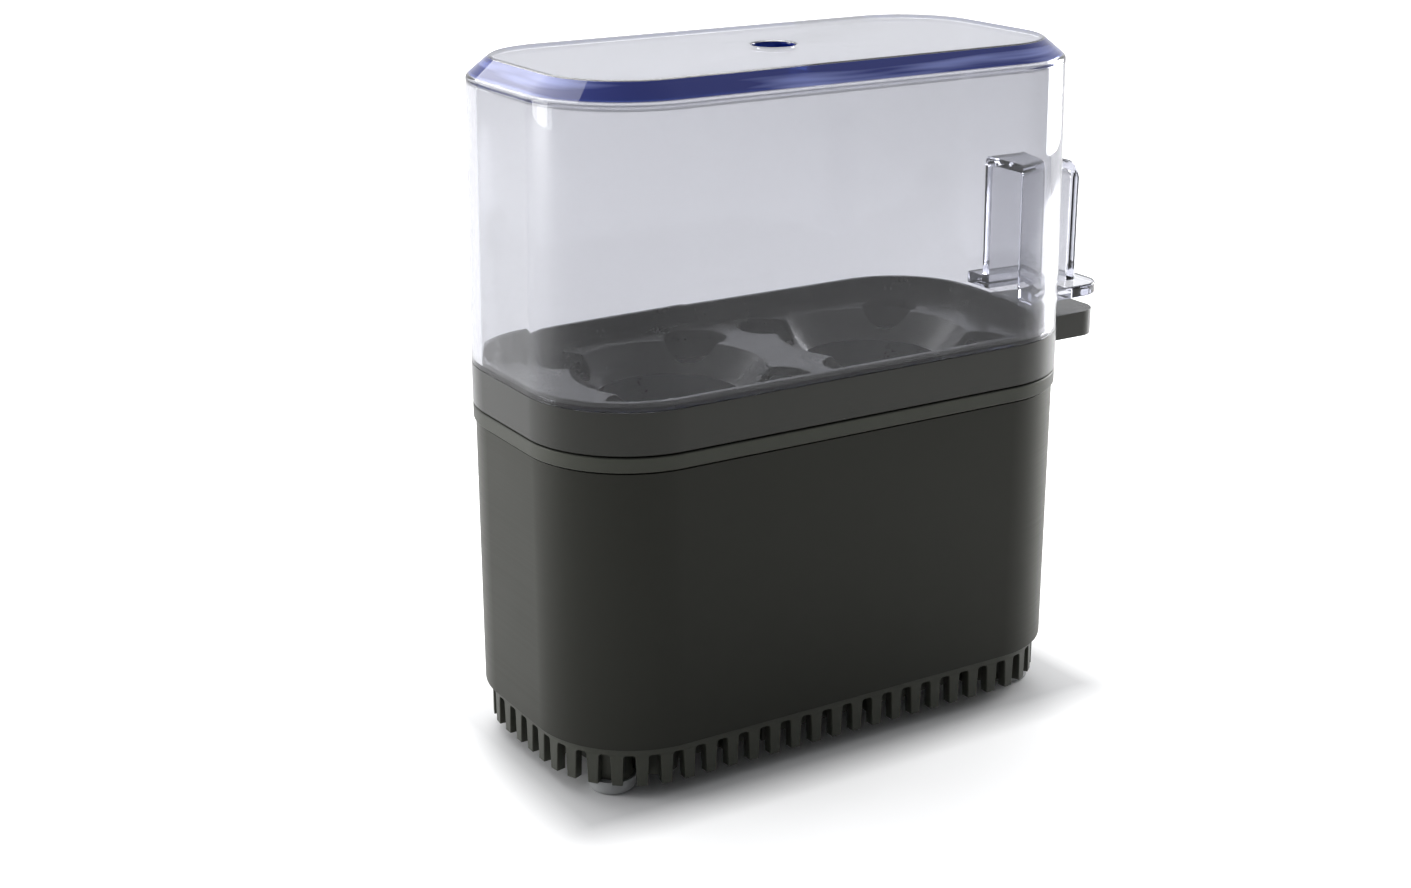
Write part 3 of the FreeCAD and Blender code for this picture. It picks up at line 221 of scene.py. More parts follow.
# %% Dark brushed sheet
brushed_dark = finish_of("dark_brushed_sheet", (0.016, 0.0165, 0.0135), 0.38, metal=0.25, grain=9.0,
                         squeeze=(1.0, 1.0, 420.0), grain_depth=0.02, bump_reach=0.3, patches=30.0,
                         gloss_change=0.05, IOR=1.42, Specular_Tint=(1.0, 1.0, 0.9, 1.0))
print("brushed finish mixed:", brushed_dark.name)

# %% [markdown]
# ## The clear lid's plastic
#
# The lid is clear moulded plastic with a faint blue tint. A thin wall looks colourless, but the
# thick rim at the top looks deep blue, because light that runs along inside it has a long way to
# go. So the tint is in the volume: the shader passes light through, and what is inside takes away
# a little red and green for every millimetre. In a white room such walls would all but vanish, so
# each face also takes away some of every colour. This grey is painted shade, standing in for the
# darker surroundings that the walls would show, and the walls read grey.

# %% Clear plastic with a tint that grows with thickness
def clear_moulding(name, wall, tint, tint_strength, gloss=0.015):
    """Clear plastic: smooth faint ripples outside, and a colour that builds up inside."""
    material, tree, place = blank(name)
    flow = noise(tree, place, 38.0, 2.0, 0.5)
    deeper = [channel * 0.98 for channel in wall[:3]] + [1.0]
    ripple = put(tree, "ShaderNodeBump", Strength=0.15, Distance=0.05 * MM, Height=flow)
    shader = put(tree, "ShaderNodeBsdfPrincipled", Transmission_Weight=1.0, IOR=1.5,
                 Base_Color=mixed(tree, flow, deeper, wall), Normal=ripple.outputs["Normal"],
                 Roughness=ranged(tree, flow, 0.0, 1.0, gloss * 0.5, gloss * 1.5))
    inside = put(tree, "ShaderNodeVolumeAbsorption", Color=tint, Density=tint_strength)
    put(tree, "ShaderNodeOutputMaterial", Surface=shader.outputs["BSDF"],
        Volume=inside.outputs["Volume"])
    return material


# The grey colour of the walls is painted shade, so that the clear walls read grey in the white room.
clear_lid = clear_moulding("clear_tinted_plastic", (0.70, 0.702, 0.722, 1.0),
                           (0.55, 0.6, 0.96, 1.0), 14.0)
lamp_glass = clear_moulding("lamp_glass", (0.98, 0.95, 0.9, 1.0), (0.95, 0.8, 0.6, 1.0), 40.0,
                            gloss=0.05)
print("clear finishes mixed:", clear_lid.name, lamp_glass.name)

# %% [markdown]
# The slanted rim round the roof is where most of that trapped light comes out, so it shows bands
# of deep blue with violet between them. A short path tracer run never gathers that light, so the
# rim gets painted light instead: a mask on height picks the slanted faces, and a slow noise slides
# their colour from deep blue to violet. This is a painted stand-in for the trapped light, laid over
# the plastic's own faint tint, and in the mask the shader passes less light through. The flat roof
# and the walls lie outside the mask and stay clear.

# %% The blue rim of the lid, in painted light
def paint_rim_light(material, low, high):
    """Paints bands of deep blue and violet, a stand-in for trapped light, on the faces between two
    heights.
    """
    tree, shader, place = found(material)
    clear_tone = shader.inputs["Base Color"].links[0].from_socket
    height = put(tree, "ShaderNodeSeparateXYZ", Vector=place).outputs["Z"]
    above = ranged(tree, height, low, low + 0.4 * MM, interpolation_type="SMOOTHSTEP")
    below = ranged(tree, height, high, high - 0.15 * MM, interpolation_type="SMOOTHSTEP")
    painted_rim_mask = maths(tree, "MULTIPLY", above, below)
    drawn = put(tree, "ShaderNodeMapping", Vector=place, Scale=(0.55, 0.55, 14.0)).outputs["Vector"]
    # The noise bands are painted light: deep blue and violet where the trapped light would come out.
    bands = ranged(tree, noise(tree, drawn, 34.0, 2.0, 0.5), 0.50, 0.68)
    painted_rim_blues = mixed(tree, bands, (0.006, 0.020, 0.22, 1.0), (0.30, 0.36, 0.80, 1.0))
    feed(tree, shader.inputs["Base Color"], mixed(tree, painted_rim_mask, clear_tone, painted_rim_blues))
    feed(tree, shader.inputs["Transmission Weight"], ranged(tree, painted_rim_mask, 0.0, 1.0, 1.0, 0.12))


rim_depth, rim_gap = 3.7 * MM, 0.12 * MM
rim_from, rim_to = lid_high.z - rim_depth, lid_high.z - rim_gap
# The rim's blue bands are painted light laid over the lid's real tint.
paint_rim_light(clear_lid, rim_from, rim_to)
print("rim mask in mm:", round(rim_from / MM, 1), "to", round(rim_to / MM, 1))

# %% [markdown]
# ## Finishes for the pieces inside
#
# Little of the inside shows, but a cooker that is taken apart still has to look real: a grey
# coated dish, a cast heater plate, zinc plated strips, brass terminals and coloured leads. Each
# finish differs in how large its grain is, how deep, and how much the colour wanders.

# %% Metals, rubber and insulation
finishes = {
    "dark_base": dark_grain,
    "dark_sleeve": brushed_dark,
    "clear_plastic": clear_lid,
    "lamp_glass": lamp_glass,
    "dark_tray": finish_of("dark_smooth_plastic", (0.007, 0.0075, 0.006), 0.24, grain=1300,
                           grain_depth=0.012, bump_reach=0.2, IOR=1.5, Specular_Tint=(1.0, 1.0, 0.92, 1.0),
                           Coat_Weight=0.15, Coat_Roughness=0.2),
    "foot_rubber": finish_of("grey_foot_rubber", (0.36, 0.37, 0.37), 0.62, grain=2600, grain_depth=0.05,
                             bump_reach=0.4),
    "screw_steel": finish_of("plated_screw", (0.55, 0.55, 0.56), 0.26, metal=1.0, grain=2200,
                             grain_depth=0.01),
    "dish_coat": finish_of("coated_dish", (0.20, 0.21, 0.215), 0.30, metal=0.6, grain=1800,
                           grain_depth=0.03, bump_reach=0.3, patches=90, colour_change=0.18),
    "silicone": finish_of("silicone_ring", (0.66, 0.67, 0.66), 0.5, grain=1200, grain_depth=0.02),
    "cast_plate": finish_of("cast_aluminium", (0.52, 0.53, 0.54), 0.48, metal=1.0, grain=900,
                            grain_depth=0.09, bump_reach=0.6, patches=140, colour_change=0.2),
    "element_tube": finish_of("drawn_tube", (0.46, 0.46, 0.47), 0.34, metal=1.0, grain=60,
                              squeeze=(1, 30, 30), grain_depth=0.02, bump_reach=0.4),
    "ceramic": finish_of("white_ceramic", (0.8, 0.79, 0.75), 0.55, grain=1600, grain_depth=0.03),
    "plated_steel": finish_of("zinc_plated_sheet", (0.56, 0.57, 0.58), 0.36, metal=1.0, grain=30,
                              squeeze=(1, 40, 1), grain_depth=0.012, bump_reach=0.4, patches=150),
    "brass": finish_of("brass_strip", (0.66, 0.46, 0.18), 0.32, metal=1.0, grain=900, grain_depth=0.015,
                       patches=200, colour_change=0.16),
    "phenolic": finish_of("brown_phenolic", (0.055, 0.035, 0.024), 0.4, grain=1000, grain_depth=0.03,
                          patches=260, colour_change=0.4),
    "glass_fibre": finish_of("woven_glass_fibre", (0.74, 0.72, 0.64), 0.7, grain=700,
                             squeeze=(3, 1, 1), grain_depth=0.15, bump_reach=0.8),
    "block_plastic": finish_of("natural_white_plastic", (0.7, 0.7, 0.66), 0.42, grain=900,
                               grain_depth=0.02),
    "black_plastic": finish_of("black_fine_plastic", (0.016, 0.016, 0.016), 0.45, grain=1900,
                               grain_depth=0.03, bump_reach=0.4),
    "rocker_black": finish_of("black_gloss_plastic", (0.014, 0.014, 0.014), 0.2, grain=700,
                              grain_depth=0.008),
    "lens_red": finish_of("red_window", (0.42, 0.02, 0.012), 0.14, grain=500, grain_depth=0.006,
                          Transmission_Weight=0.35),
    "wire_brown": finish_of("brown_insulation", (0.13, 0.05, 0.02), 0.4, grain=900, grain_depth=0.02),
    "wire_blue": finish_of("blue_insulation", (0.02, 0.06, 0.26), 0.4, grain=900, grain_depth=0.02),
}
print("finishes:", len(finishes))

# %% [markdown]
# The earth lead is green and yellow, so that nobody mistakes it. A wave along the length of the
# cooker gives the two colours without a map, so the yellow comes in bands, not as one long stripe.

# %% Green and yellow insulation
earth_lead = finish_of("green_yellow_insulation", (0.05, 0.22, 0.04), 0.4, grain=900, grain_depth=0.02)
earth_tree, earth_shader, earth_place = found(earth_lead)
stripes = put(earth_tree, "ShaderNodeTexWave", Vector=earth_place, Scale=140.0, Distortion=0.4,
              bands_direction="X").outputs["Fac"]
two_tone = mixed(earth_tree, stripes, (0.05, 0.22, 0.04, 1.0), (0.75, 0.6, 0.03, 1.0))
feed(earth_tree, earth_shader.inputs["Base Color"], two_tone)
finishes["wire_green"] = earth_lead

for name, node in nodes.items():
    node.data.materials.clear()
    node.data.materials.append(finishes[slot_of[name]])
print("every piece of the model has its finish")

# %% [markdown]
# ## Softened edges
#
# No moulded or pressed edge is perfectly sharp: each has a tiny round that catches a thread of
# light, and without it a model looks like a drawing. The model's solids are exact, so the quickest
# honest way is to copy a solid, join its loose triangles, clear away the lines across flat faces,
# and round what is left with a Bevel modifier. The copy then stands for the solid.

# %% Copy a solid and soften it
def placed(name, mesh):
    """A new object in the scene that holds a mesh, a lamp or a camera."""
    piece = bpy.data.objects.new(name, mesh)
    bpy.context.scene.collection.objects.link(piece)
    return piece


def made_of(shape, name):
    """Turns a bmesh into a new object and lets go of the bmesh."""
    mesh = bpy.data.meshes.new(name)
    shape.to_mesh(mesh)
    shape.free()
    return placed(name, mesh)


@contextlib.contextmanager
def reworked(mesh):
    """Opens a mesh as a bmesh and writes it back at the end."""
    shape = bmesh.new()
    shape.from_mesh(mesh)
    yield shape
    shape.to_mesh(mesh)
    shape.free()


def round_edges(piece, width, sharpest):
    """A Bevel modifier on the edges that turn by more than an angle in degrees."""
    rounding = piece.modifiers.new("small rounds", "BEVEL")
    rounding.width, rounding.segments = width, 2
    rounding.limit_method, rounding.angle_limit = "ANGLE", math.radians(sharpest)


def cut_by(piece, tool, operation):
    """An exact Boolean modifier on a piece."""
    change = piece.modifiers.new(tool.name, "BOOLEAN")
    change.operation, change.solver, change.object = operation, "EXACT", tool


def baked(piece, sharp=35.0):
    """The piece with its modifiers worked into a plain mesh that is shaded as it is shaped."""
    piece.data.set_sharp_from_angle(angle=math.radians(sharp))
    even = piece.modifiers.new("flat faces stay flat", "WEIGHTED_NORMAL")
    even.mode = "FACE_AREA"
    even.keep_sharp = True
    seen = piece.evaluated_get(bpy.context.evaluated_depsgraph_get())
    mesh = bpy.data.meshes.new_from_object(seen)
    mesh.name = piece.name
    piece.modifiers.clear()
    old = piece.data
    piece.data = mesh
    bpy.data.meshes.remove(old)
    return piece


def softened(node, name, width):
    """A copy of a model piece with joined faces and small rounds on its sharp edges."""
    mesh = nodes[node].data.copy()
    mesh.name = name
    with reworked(mesh) as shape:
        bmesh.ops.remove_doubles(shape, verts=shape.verts, dist=0.002 * MM)
        bmesh.ops.dissolve_limit(shape, angle_limit=math.radians(0.4), verts=shape.verts,
                                 edges=shape.edges)
    if mesh.has_custom_normals:
        mesh.attributes.remove(mesh.attributes["custom_normal"])
    mesh.shade_smooth()
    piece = placed(name, mesh)
    if width:
        round_edges(piece, width * MM, 28.0)
    return baked(piece)


def stands_for(piece, node):
    """The finished piece takes over from a model piece and moves with its body."""
    owner = next(b for b, members in record["behaviour"]["bodies"].items() if node in members)
    if not piece.data.materials:
        piece.data.materials.append(finishes[slot_of[node]])
    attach(piece, owner)
    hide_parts(node)
    print(piece.name, "faces:", len(piece.data.polygons))


for node, name, width in (
        ("egg_tray", "tray_shell", 0.35), ("housing_frame", "frame_shell", 0.25),
        ("outer_sleeve", "sleeve_shell", 0.12), ("heating_dish", "dish_shell", 0.15),
        ("rubber_feet", "foot_set", 0.0), ("cord_gland", "gland_shell", 0.2),
        ("switch_housing", "switch_shell", 0.2), ("switch_rocker", "rocker_shell", 0.2),
        ("rocker_lens", "window_shell", 0.1)):
    stands_for(softened(node, name, width), node)

# %% [markdown]
# ## The comb round the base
#
# Steam and heat leave through a comb of slots between the body and the table. Every tooth is the
# same, a little narrower at the foot than at the root, where two rounds lead into the band above.
# Cutting 64 slots with Booleans is slow and leaves ragged edges. With Geometry Nodes one tooth is
# shaped, repeated along a straight line, and the line is then laid round the base's outline: the
# distance along the line becomes the distance round the outline. The path is the modifier's own
# mesh, so the same tree would serve a base of any outline.

# %% Helpers for node trees
def new_tree(name, sizes):
    """A geometry tree with a path or mesh coming in, named sizes, and a mesh going out."""
    tree = bpy.data.node_groups.new(name, "GeometryNodeTree")
    tree.interface.new_socket("Path", in_out="INPUT", socket_type="NodeSocketGeometry")
    for title, kind in sizes:
        tree.interface.new_socket(title, in_out="INPUT", socket_type=kind)
    tree.interface.new_socket("Pieces", in_out="OUTPUT", socket_type="NodeSocketGeometry")
    return tree, tree.nodes.new("NodeGroupInput").outputs, tree.nodes.new("NodeGroupOutput").inputs[0]


def parts_of_place(tree):
    """The X, Y and Z of each point of the mesh."""
    place = tree.nodes.new("GeometryNodeInputPosition").outputs[0]
    return joined(tree, "ShaderNodeSeparateXYZ", place).outputs


def grown(piece, tree, **sizes):
    """Runs a tree on a piece once, with its sizes set by name, and keeps the plain mesh."""
    growth = piece.modifiers.new(tree.name, "NODES")
    growth.node_group = tree
    wanted = {title.replace("_", " "): value for title, value in sizes.items()}
    for socket in tree.interface.items_tree:
        if socket.in_out == "INPUT" and socket.name in wanted:
            growth[socket.identifier] = wanted[socket.name]
    seen = piece.evaluated_get(bpy.context.evaluated_depsgraph_get())
    mesh = bpy.data.meshes.new_from_object(seen)
    piece.modifiers.clear()
    piece.data = mesh
    mesh.name = piece.name
    return piece


FLOAT = "NodeSocketFloat"
print("tree helpers are ready")

# %% [markdown]
# The tooth starts as a cube with many levels. At each level its half width is half of what the
# slot leaves of the pitch. Near the root the slot closes along a quarter circle, so the tooth
# widens by the same amount. The last level is drawn in and up, to end inside the band.

# %% The comb's tree
levels, crowding, last_level = 22, 1.8, 0.98
tuck_in, tuck_up = 0.2 * MM, 0.25 * MM
comb, given, result = new_tree("comb", [
    ("Teeth", "NodeSocketInt"), ("Foot", FLOAT), ("Height", FLOAT),
    ("Slot at the root", FLOAT), ("Slot at the foot", FLOAT),
    ("Root radius", FLOAT), ("Wall", FLOAT), ("Finish", "NodeSocketMaterial")])
comb_maths = functools.partial(maths, comb)
path = joined(comb, "GeometryNodeMeshToCurve", given["Path"]).outputs["Curve"]
whole = joined(comb, "GeometryNodeCurveLength", path).outputs["Length"]
pitch = comb_maths("DIVIDE", whole, given["Teeth"])

tooth = joined(comb, "GeometryNodeMeshCube", (1.0, 1.0, 1.0), 2, 2, levels).outputs["Mesh"]
corner = parts_of_place(comb)
level = comb_maths("ADD", corner["Z"], 0.5)
rise = comb_maths("SUBTRACT", 1.0, comb_maths("POWER", comb_maths("SUBTRACT", 1.0, level), crowding))
top_row = comb_maths("GREATER_THAN", level, last_level)
up = comb_maths("MULTIPLY", rise, given["Height"])
past_root = comb_maths("SUBTRACT", up, comb_maths("SUBTRACT", given["Height"], given["Root radius"]))
over = comb_maths("MAXIMUM", past_root, 0.0)
squared = comb_maths("SUBTRACT", comb_maths("MULTIPLY", given["Root radius"], given["Root radius"]),
                     comb_maths("MULTIPLY", over, over))
arc = comb_maths("SQRT", comb_maths("MAXIMUM", squared, 0.0))
closing = comb_maths("SUBTRACT", given["Root radius"], arc)
taper = joined(comb, "ShaderNodeMapRange", rise, 0.0, 1.0, given["Slot at the foot"],
               given["Slot at the root"]).outputs[0]
slot_half = comb_maths("SUBTRACT", comb_maths("MULTIPLY", taper, 0.5), closing)
tooth_half = comb_maths("SUBTRACT", comb_maths("MULTIPLY", pitch, 0.5), slot_half)
along = comb_maths("MULTIPLY", comb_maths("MULTIPLY", corner["X"], 2.0), tooth_half)
inward = comb_maths("MULTIPLY", comb_maths("SUBTRACT", corner["Y"], 0.5), given["Wall"])
inward = comb_maths("SUBTRACT", inward, comb_maths("MULTIPLY", top_row, tuck_in))
upward = comb_maths("ADD", comb_maths("ADD", up, given["Foot"]),
                    comb_maths("MULTIPLY", top_row, tuck_up))
shaped = joined(comb, "ShaderNodeCombineXYZ", along, inward, upward).outputs[0]
tooth = joined(comb, "GeometryNodeSetPosition", tooth, None, shaped).outputs[0]

first = joined(comb, "ShaderNodeCombineXYZ", comb_maths("MULTIPLY", pitch, 0.5), 0.0, 0.0).outputs[0]
stride = joined(comb, "ShaderNodeCombineXYZ", pitch, 0.0, 0.0).outputs[0]
row = joined(comb, "GeometryNodeMeshLine", given["Teeth"], 0.1, first, stride,
             mode="OFFSET").outputs["Mesh"]
straight = joined(comb, "GeometryNodeInstanceOnPoints", row, None, tooth).outputs[0]
straight = joined(comb, "GeometryNodeRealizeInstances", straight).outputs[0]
print("nodes up to the straight comb:", len(comb.nodes))

# %% [markdown]
# Now the straight comb is laid round the outline. Sample Curve gives the point and the direction
# of travel at any distance. The way out of the body is at right angles to that direction, level,
# and on the side away from the middle.

# %% Lay the comb round the outline
spot = parts_of_place(comb)
sample = put(comb, "GeometryNodeSampleCurve", mode="LENGTH", use_all_curves=False, Curves=path,
             Length=spot["X"])
side = vectors(comb, "CROSS_PRODUCT", sample.outputs["Tangent"], (0.0, 0.0, 1.0))
side = vectors(comb, "NORMALIZE", side)
facing = vectors(comb, "DOT_PRODUCT", side, sample.outputs["Position"], gives="Value")
reach_out = comb_maths("MULTIPLY", comb_maths("SIGN", facing), spot["Y"])
step_out = vectors(comb, "SCALE", side, None, None, reach_out)
lift = joined(comb, "ShaderNodeCombineXYZ", 0.0, 0.0, spot["Z"]).outputs[0]
landed = vectors(comb, "ADD", vectors(comb, "ADD", sample.outputs["Position"], step_out), lift)
wrapped = joined(comb, "GeometryNodeSetPosition", straight, None, landed).outputs[0]
finished = joined(comb, "GeometryNodeRealizeInstances", wrapped).outputs[0]
finished = joined(comb, "GeometryNodeSetMaterial", finished, None, given["Finish"]).outputs[0]
comb.links.new(finished, result)
print("nodes in the comb's tree:", len(comb.nodes))

# %% [markdown]
# The path starts at the middle of the end wall, so that a slot is centred on it, as on each of the
# four sides. A small Bevel takes the sharpness off the teeth.

# %% Grow the teeth
comb_teeth, turn_steps = 64, 24
comb_inset, comb_wall, root_height, comb_top = 1.9 * MM, 2.2 * MM, 6.9 * MM, 11.7 * MM
slot_at_root, slot_at_foot, slot_round, tooth_round = 2.4 * MM, 3.0 * MM, 0.7 * MM, 0.16 * MM
foot_level = base_low.z


def ring_path(name, outline):
    """A closed chain of edges round an outline, from the middle of its +X side."""
    points = [Vector((outline[0], 0, 0))] + outline_points(outline, turn_steps, 0.0)
    mesh = bpy.data.meshes.new(name)
    edges = [(index, (index + 1) % len(points)) for index in range(len(points))]
    mesh.from_pydata([tuple(p) for p in points], edges, [])
    return placed(name, mesh)


teeth = grown(ring_path("teeth", drawn_in(comb_inset)), comb, Teeth=comb_teeth, Foot=foot_level,
              Height=root_height, Slot_at_the_root=slot_at_root, Slot_at_the_foot=slot_at_foot,
              Root_radius=slot_round, Wall=comb_wall, Finish=dark_grain)
with reworked(teeth.data) as shape:
    bmesh.ops.recalc_face_normals(shape, faces=shape.faces)
teeth.data.shade_smooth()
round_edges(teeth, tooth_round, 50.0)
baked(teeth)
print("teeth faces:", len(teeth.data.polygons))

# %% [markdown]
# The band above the teeth is a loft of the same outline. The plate behind, with its screw wells,
# foot bosses and floor slots, comes from the model: a Boolean keeps what lies inside the comb.

# %% Band, plate and teeth in one base
def lofted(name, rings):
    """A closed mesh through rings that all have the same number of points."""
    shape = bmesh.new()
    rows = [[shape.verts.new(point) for point in ring] for ring in rings]
    for row, following in zip(rows, rows[1:] + rows[:1]):
        for index in range(len(row)):
            other = (index + 1) % len(row)
            shape.faces.new((row[index], row[other], following[other], following[index]))
    bmesh.ops.recalc_face_normals(shape, faces=shape.faces)
    piece = made_of(shape, name)
    piece.data.shade_smooth()
    return piece


def prism(name, points, low, high):
    """A solid with the same outline at two heights."""
    shape = bmesh.new()
    foot = shape.faces.new([shape.verts.new((p.x, p.y, low)) for p in points])
    risen = bmesh.ops.extrude_face_region(shape, geom=[foot])["geom"]
    for vertex in (item for item in risen if isinstance(item, bmesh.types.BMVert)):
        vertex.co.z = high
    bmesh.ops.recalc_face_normals(shape, faces=shape.faces)
    return made_of(shape, name)


def merged(name, pieces, finish):
    """One object from several, with their faces side by side and one finish."""
    shape = bmesh.new()
    for piece in pieces:
        shape.from_mesh(piece.data)
    for face in shape.faces:
        face.material_index = 0
    whole_piece = made_of(shape, name)
    whole_piece.data.materials.append(finish)
    for piece in pieces:
        bpy.data.objects.remove(piece)
    return whole_piece


band_foot, band_inside, lip = foot_level + root_height, comb_inset + comb_wall + 0.3 * MM, 0.2 * MM
band_rings = [(comb_inset, band_foot), (comb_inset, comb_top - lip), (comb_inset + lip, comb_top),
              (band_inside, comb_top), (band_inside, band_foot)]
base_band = lofted("base_band", [outline_points(drawn_in(across), turn_steps, z)
                                 for across, z in band_rings])
baked(base_band)

overlap = 0.05 * MM
inside_comb = outline_points(drawn_in(comb_inset + comb_wall - overlap), turn_steps, 0.0)
keeper = prism("keeper", inside_comb, base_low.z - 1 * MM, base_high.z + 1 * MM)
plate = softened("base_cover", "plate", 0.0)
cut_by(plate, keeper, "INTERSECT")
baked(plate)
bpy.data.objects.remove(keeper)
stands_for(merged("vented_base", [teeth, base_band, plate], dark_grain), "base_cover")

# %% [markdown]
# ## Screws
#
# Eight pan-head screws hold the cooker together: four up through the base, four down through the
# heat shield. They are all one screw, so they are grown by one tree: the profile is turned round
# an axis, the thread is a wave that climbs as it goes round, a Boolean presses the cross into the
# head, and one copy goes to each point. The base's heads are what one sees on turning it over.

# %% The screw's tree
head_part, crown_start, crown_growth = 0.2, 0.52, 1.1
thread_depth, tip_radius, tip_steepness = 0.32, 0.35, 8.0
screw, given, result = new_tree("pan_screw", [
    ("Head radius", FLOAT), ("Head height", FLOAT),
    ("Shank radius", FLOAT), ("Length", FLOAT), ("Thread pitch", FLOAT),
    ("Cross width", FLOAT), ("Cross depth", FLOAT), ("Turned over", FLOAT),
    ("Finish", "NodeSocketMaterial")])
screw_maths = functools.partial(maths, screw)
body = joined(screw, "GeometryNodeMeshCylinder", 24, 60, 1, 1.0, 1.0, fill_type="NGON").outputs["Mesh"]
bit = parts_of_place(screw)
share = screw_maths("ADD", bit["Z"], 0.5)
head_share = screw_maths("MINIMUM", screw_maths("DIVIDE", share, head_part), 1.0)
past_head = screw_maths("SUBTRACT", share, head_part)
shank_share = screw_maths("MAXIMUM", screw_maths("DIVIDE", past_head, 1.0 - head_part), 0.0)
in_head = screw_maths("LESS_THAN", share, head_part + 0.005)
crown = screw_maths("ADD", screw_maths("MULTIPLY", head_share, crown_growth), crown_start)
dome = screw_maths("SQRT", screw_maths("MINIMUM", crown, 1.0))
head_side = screw_maths("MULTIPLY", dome, given["Head radius"])
down = screw_maths("ADD", screw_maths("MULTIPLY", head_share, given["Head height"]),
                   screw_maths("MULTIPLY", shank_share, given["Length"]))
around = screw_maths("DIVIDE", screw_maths("ARCTAN2", bit["Y"], bit["X"]), 2 * math.pi)
climb = screw_maths("ADD", screw_maths("DIVIDE", down, given["Thread pitch"]), around)
wave = screw_maths("PINGPONG", climb, 0.5)
to_tip = screw_maths("MULTIPLY", screw_maths("SUBTRACT", 1.0, shank_share), tip_steepness)
point = screw_maths("MINIMUM", to_tip, 1.0)
thread = screw_maths("SUBTRACT", 1.0, screw_maths("MULTIPLY", wave, thread_depth))
narrowed = screw_maths("ADD", tip_radius, screw_maths("MULTIPLY", point, 1.0 - tip_radius))
shank_side = screw_maths("MULTIPLY", screw_maths("MULTIPLY", thread, given["Shank radius"]), narrowed)
width = screw_maths("ADD", screw_maths("MULTIPLY", in_head, head_side),
                    screw_maths("MULTIPLY", screw_maths("SUBTRACT", 1.0, in_head), shank_side))
turned = joined(screw, "ShaderNodeCombineXYZ", screw_maths("MULTIPLY", bit["X"], width),
                screw_maths("MULTIPLY", bit["Y"], width), down).outputs[0]
body = joined(screw, "GeometryNodeSetPosition", body, None, turned).outputs[0]

arm = screw_maths("MULTIPLY", given["Head radius"], 1.4)
deep = screw_maths("MULTIPLY", given["Cross depth"], 2.0)
bar_one = joined(screw, "ShaderNodeCombineXYZ", arm, given["Cross width"], deep).outputs[0]
bar_two = joined(screw, "ShaderNodeCombineXYZ", given["Cross width"], arm, deep).outputs[0]
cross = joined(screw, "GeometryNodeMeshBoolean", operation="DIFFERENCE", solver="EXACT")
screw.links.new(body, cross.inputs["Mesh 1"])
for bar in (bar_one, bar_two):
    screw.links.new(joined(screw, "GeometryNodeMeshCube", bar).outputs["Mesh"], cross.inputs["Mesh 2"])
half_turn = screw_maths("MULTIPLY", given["Turned over"], math.pi)
over_turn = joined(screw, "ShaderNodeCombineXYZ", half_turn, 0.0, 0.0)
copies = put(screw, "GeometryNodeInstanceOnPoints", Points=given["Path"],
             Instance=cross.outputs["Mesh"], Rotation=over_turn.outputs[0])
every = joined(screw, "GeometryNodeRealizeInstances", copies.outputs[0]).outputs[0]
every = joined(screw, "GeometryNodeSetMaterial", every, None, given["Finish"]).outputs[0]
screw.links.new(every, result)
print("nodes in the screw's tree:", len(screw.nodes))

# %% [markdown]
# Each set of screws stands in a box of the model, with a head in every corner of it. So the box
# gives the four places, the height of the heads and the length of the shanks.

# %% Grow both sets
def screw_set(name, node, head_up):
    """Four screws in the corners of a model node's box, with their heads up or down."""
    low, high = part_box(node)
    head_radius, head_height = 2.8 * MM, 1.8 * MM
    head_z = high.z if head_up else low.z
    places = [(side_x * (high.x - head_radius), side_y * (high.y - head_radius), head_z)
              for side_x in (-1, 1) for side_y in (-1, 1)]
    mesh = bpy.data.meshes.new(name)
    mesh.from_pydata(places, [], [])
    piece = placed(name, mesh)
    grown(piece, screw, Head_radius=head_radius, Head_height=head_height, Shank_radius=1.45 * MM,
          Length=high.z - low.z - head_height, Thread_pitch=0.7 * MM, Cross_width=0.8 * MM,
          Cross_depth=1.0 * MM, Turned_over=1.0 if head_up else 0.0, Finish=finishes["screw_steel"])
    hair = 0.004 * MM
    with reworked(piece.data) as shape:
        bmesh.ops.remove_doubles(shape, verts=shape.verts, dist=hair)
        bmesh.ops.dissolve_degenerate(shape, edges=shape.edges, dist=hair)
    whole_set = merged(name + "_set", [piece], finishes["screw_steel"])
    whole_set.data.shade_smooth()
    stands_for(baked(whole_set), node)


screw_set("base_screw", "base_screws", False)
screw_set("shield_screw", "shield_screws", True)

# %% [markdown]
# ## The lid, one thick clear moulding
#
# Light bends twice at every wall of a clear piece, so the lid needs the cleanest mesh of all: any
# uneven facet would show as a streak. Its shape follows a rule. It is one outline, drawn in by a
# certain amount at each height, on the way up outside and down again inside. So it is lofted: a
# list of heights becomes a list of closed rings, and neighbouring rings are joined with faces. A
# small helper rounds the corners of that list, which gives the thick bevelled rim its soft edges.

# %% A profile with rounded corners
def rounded_profile(corners, steps=5):
    """Turns (in, height, radius) corners into a polyline with an arc at each corner."""
    points = []
    count = len(corners)
    for index, (across, height, radius) in enumerate(corners):
        here = Vector((across, height))
        if radius <= 0 or index in (0, count - 1):
            points.append(here)
            continue
        before = (Vector(corners[index - 1][:2]) - here).normalized()
        after = (Vector(corners[index + 1][:2]) - here).normalized()
        half = before.angle(after) / 2
        trim = radius / math.tan(half)
        centre = here + (before + after).normalized() * (radius / math.sin(half))
        start, end = here + before * trim - centre, here + after * trim - centre
        for step in range(steps + 1):
            around = start.normalized().slerp(end.normalized(), step / steps)
            points.append(centre + around.normalized() * radius)
    return points


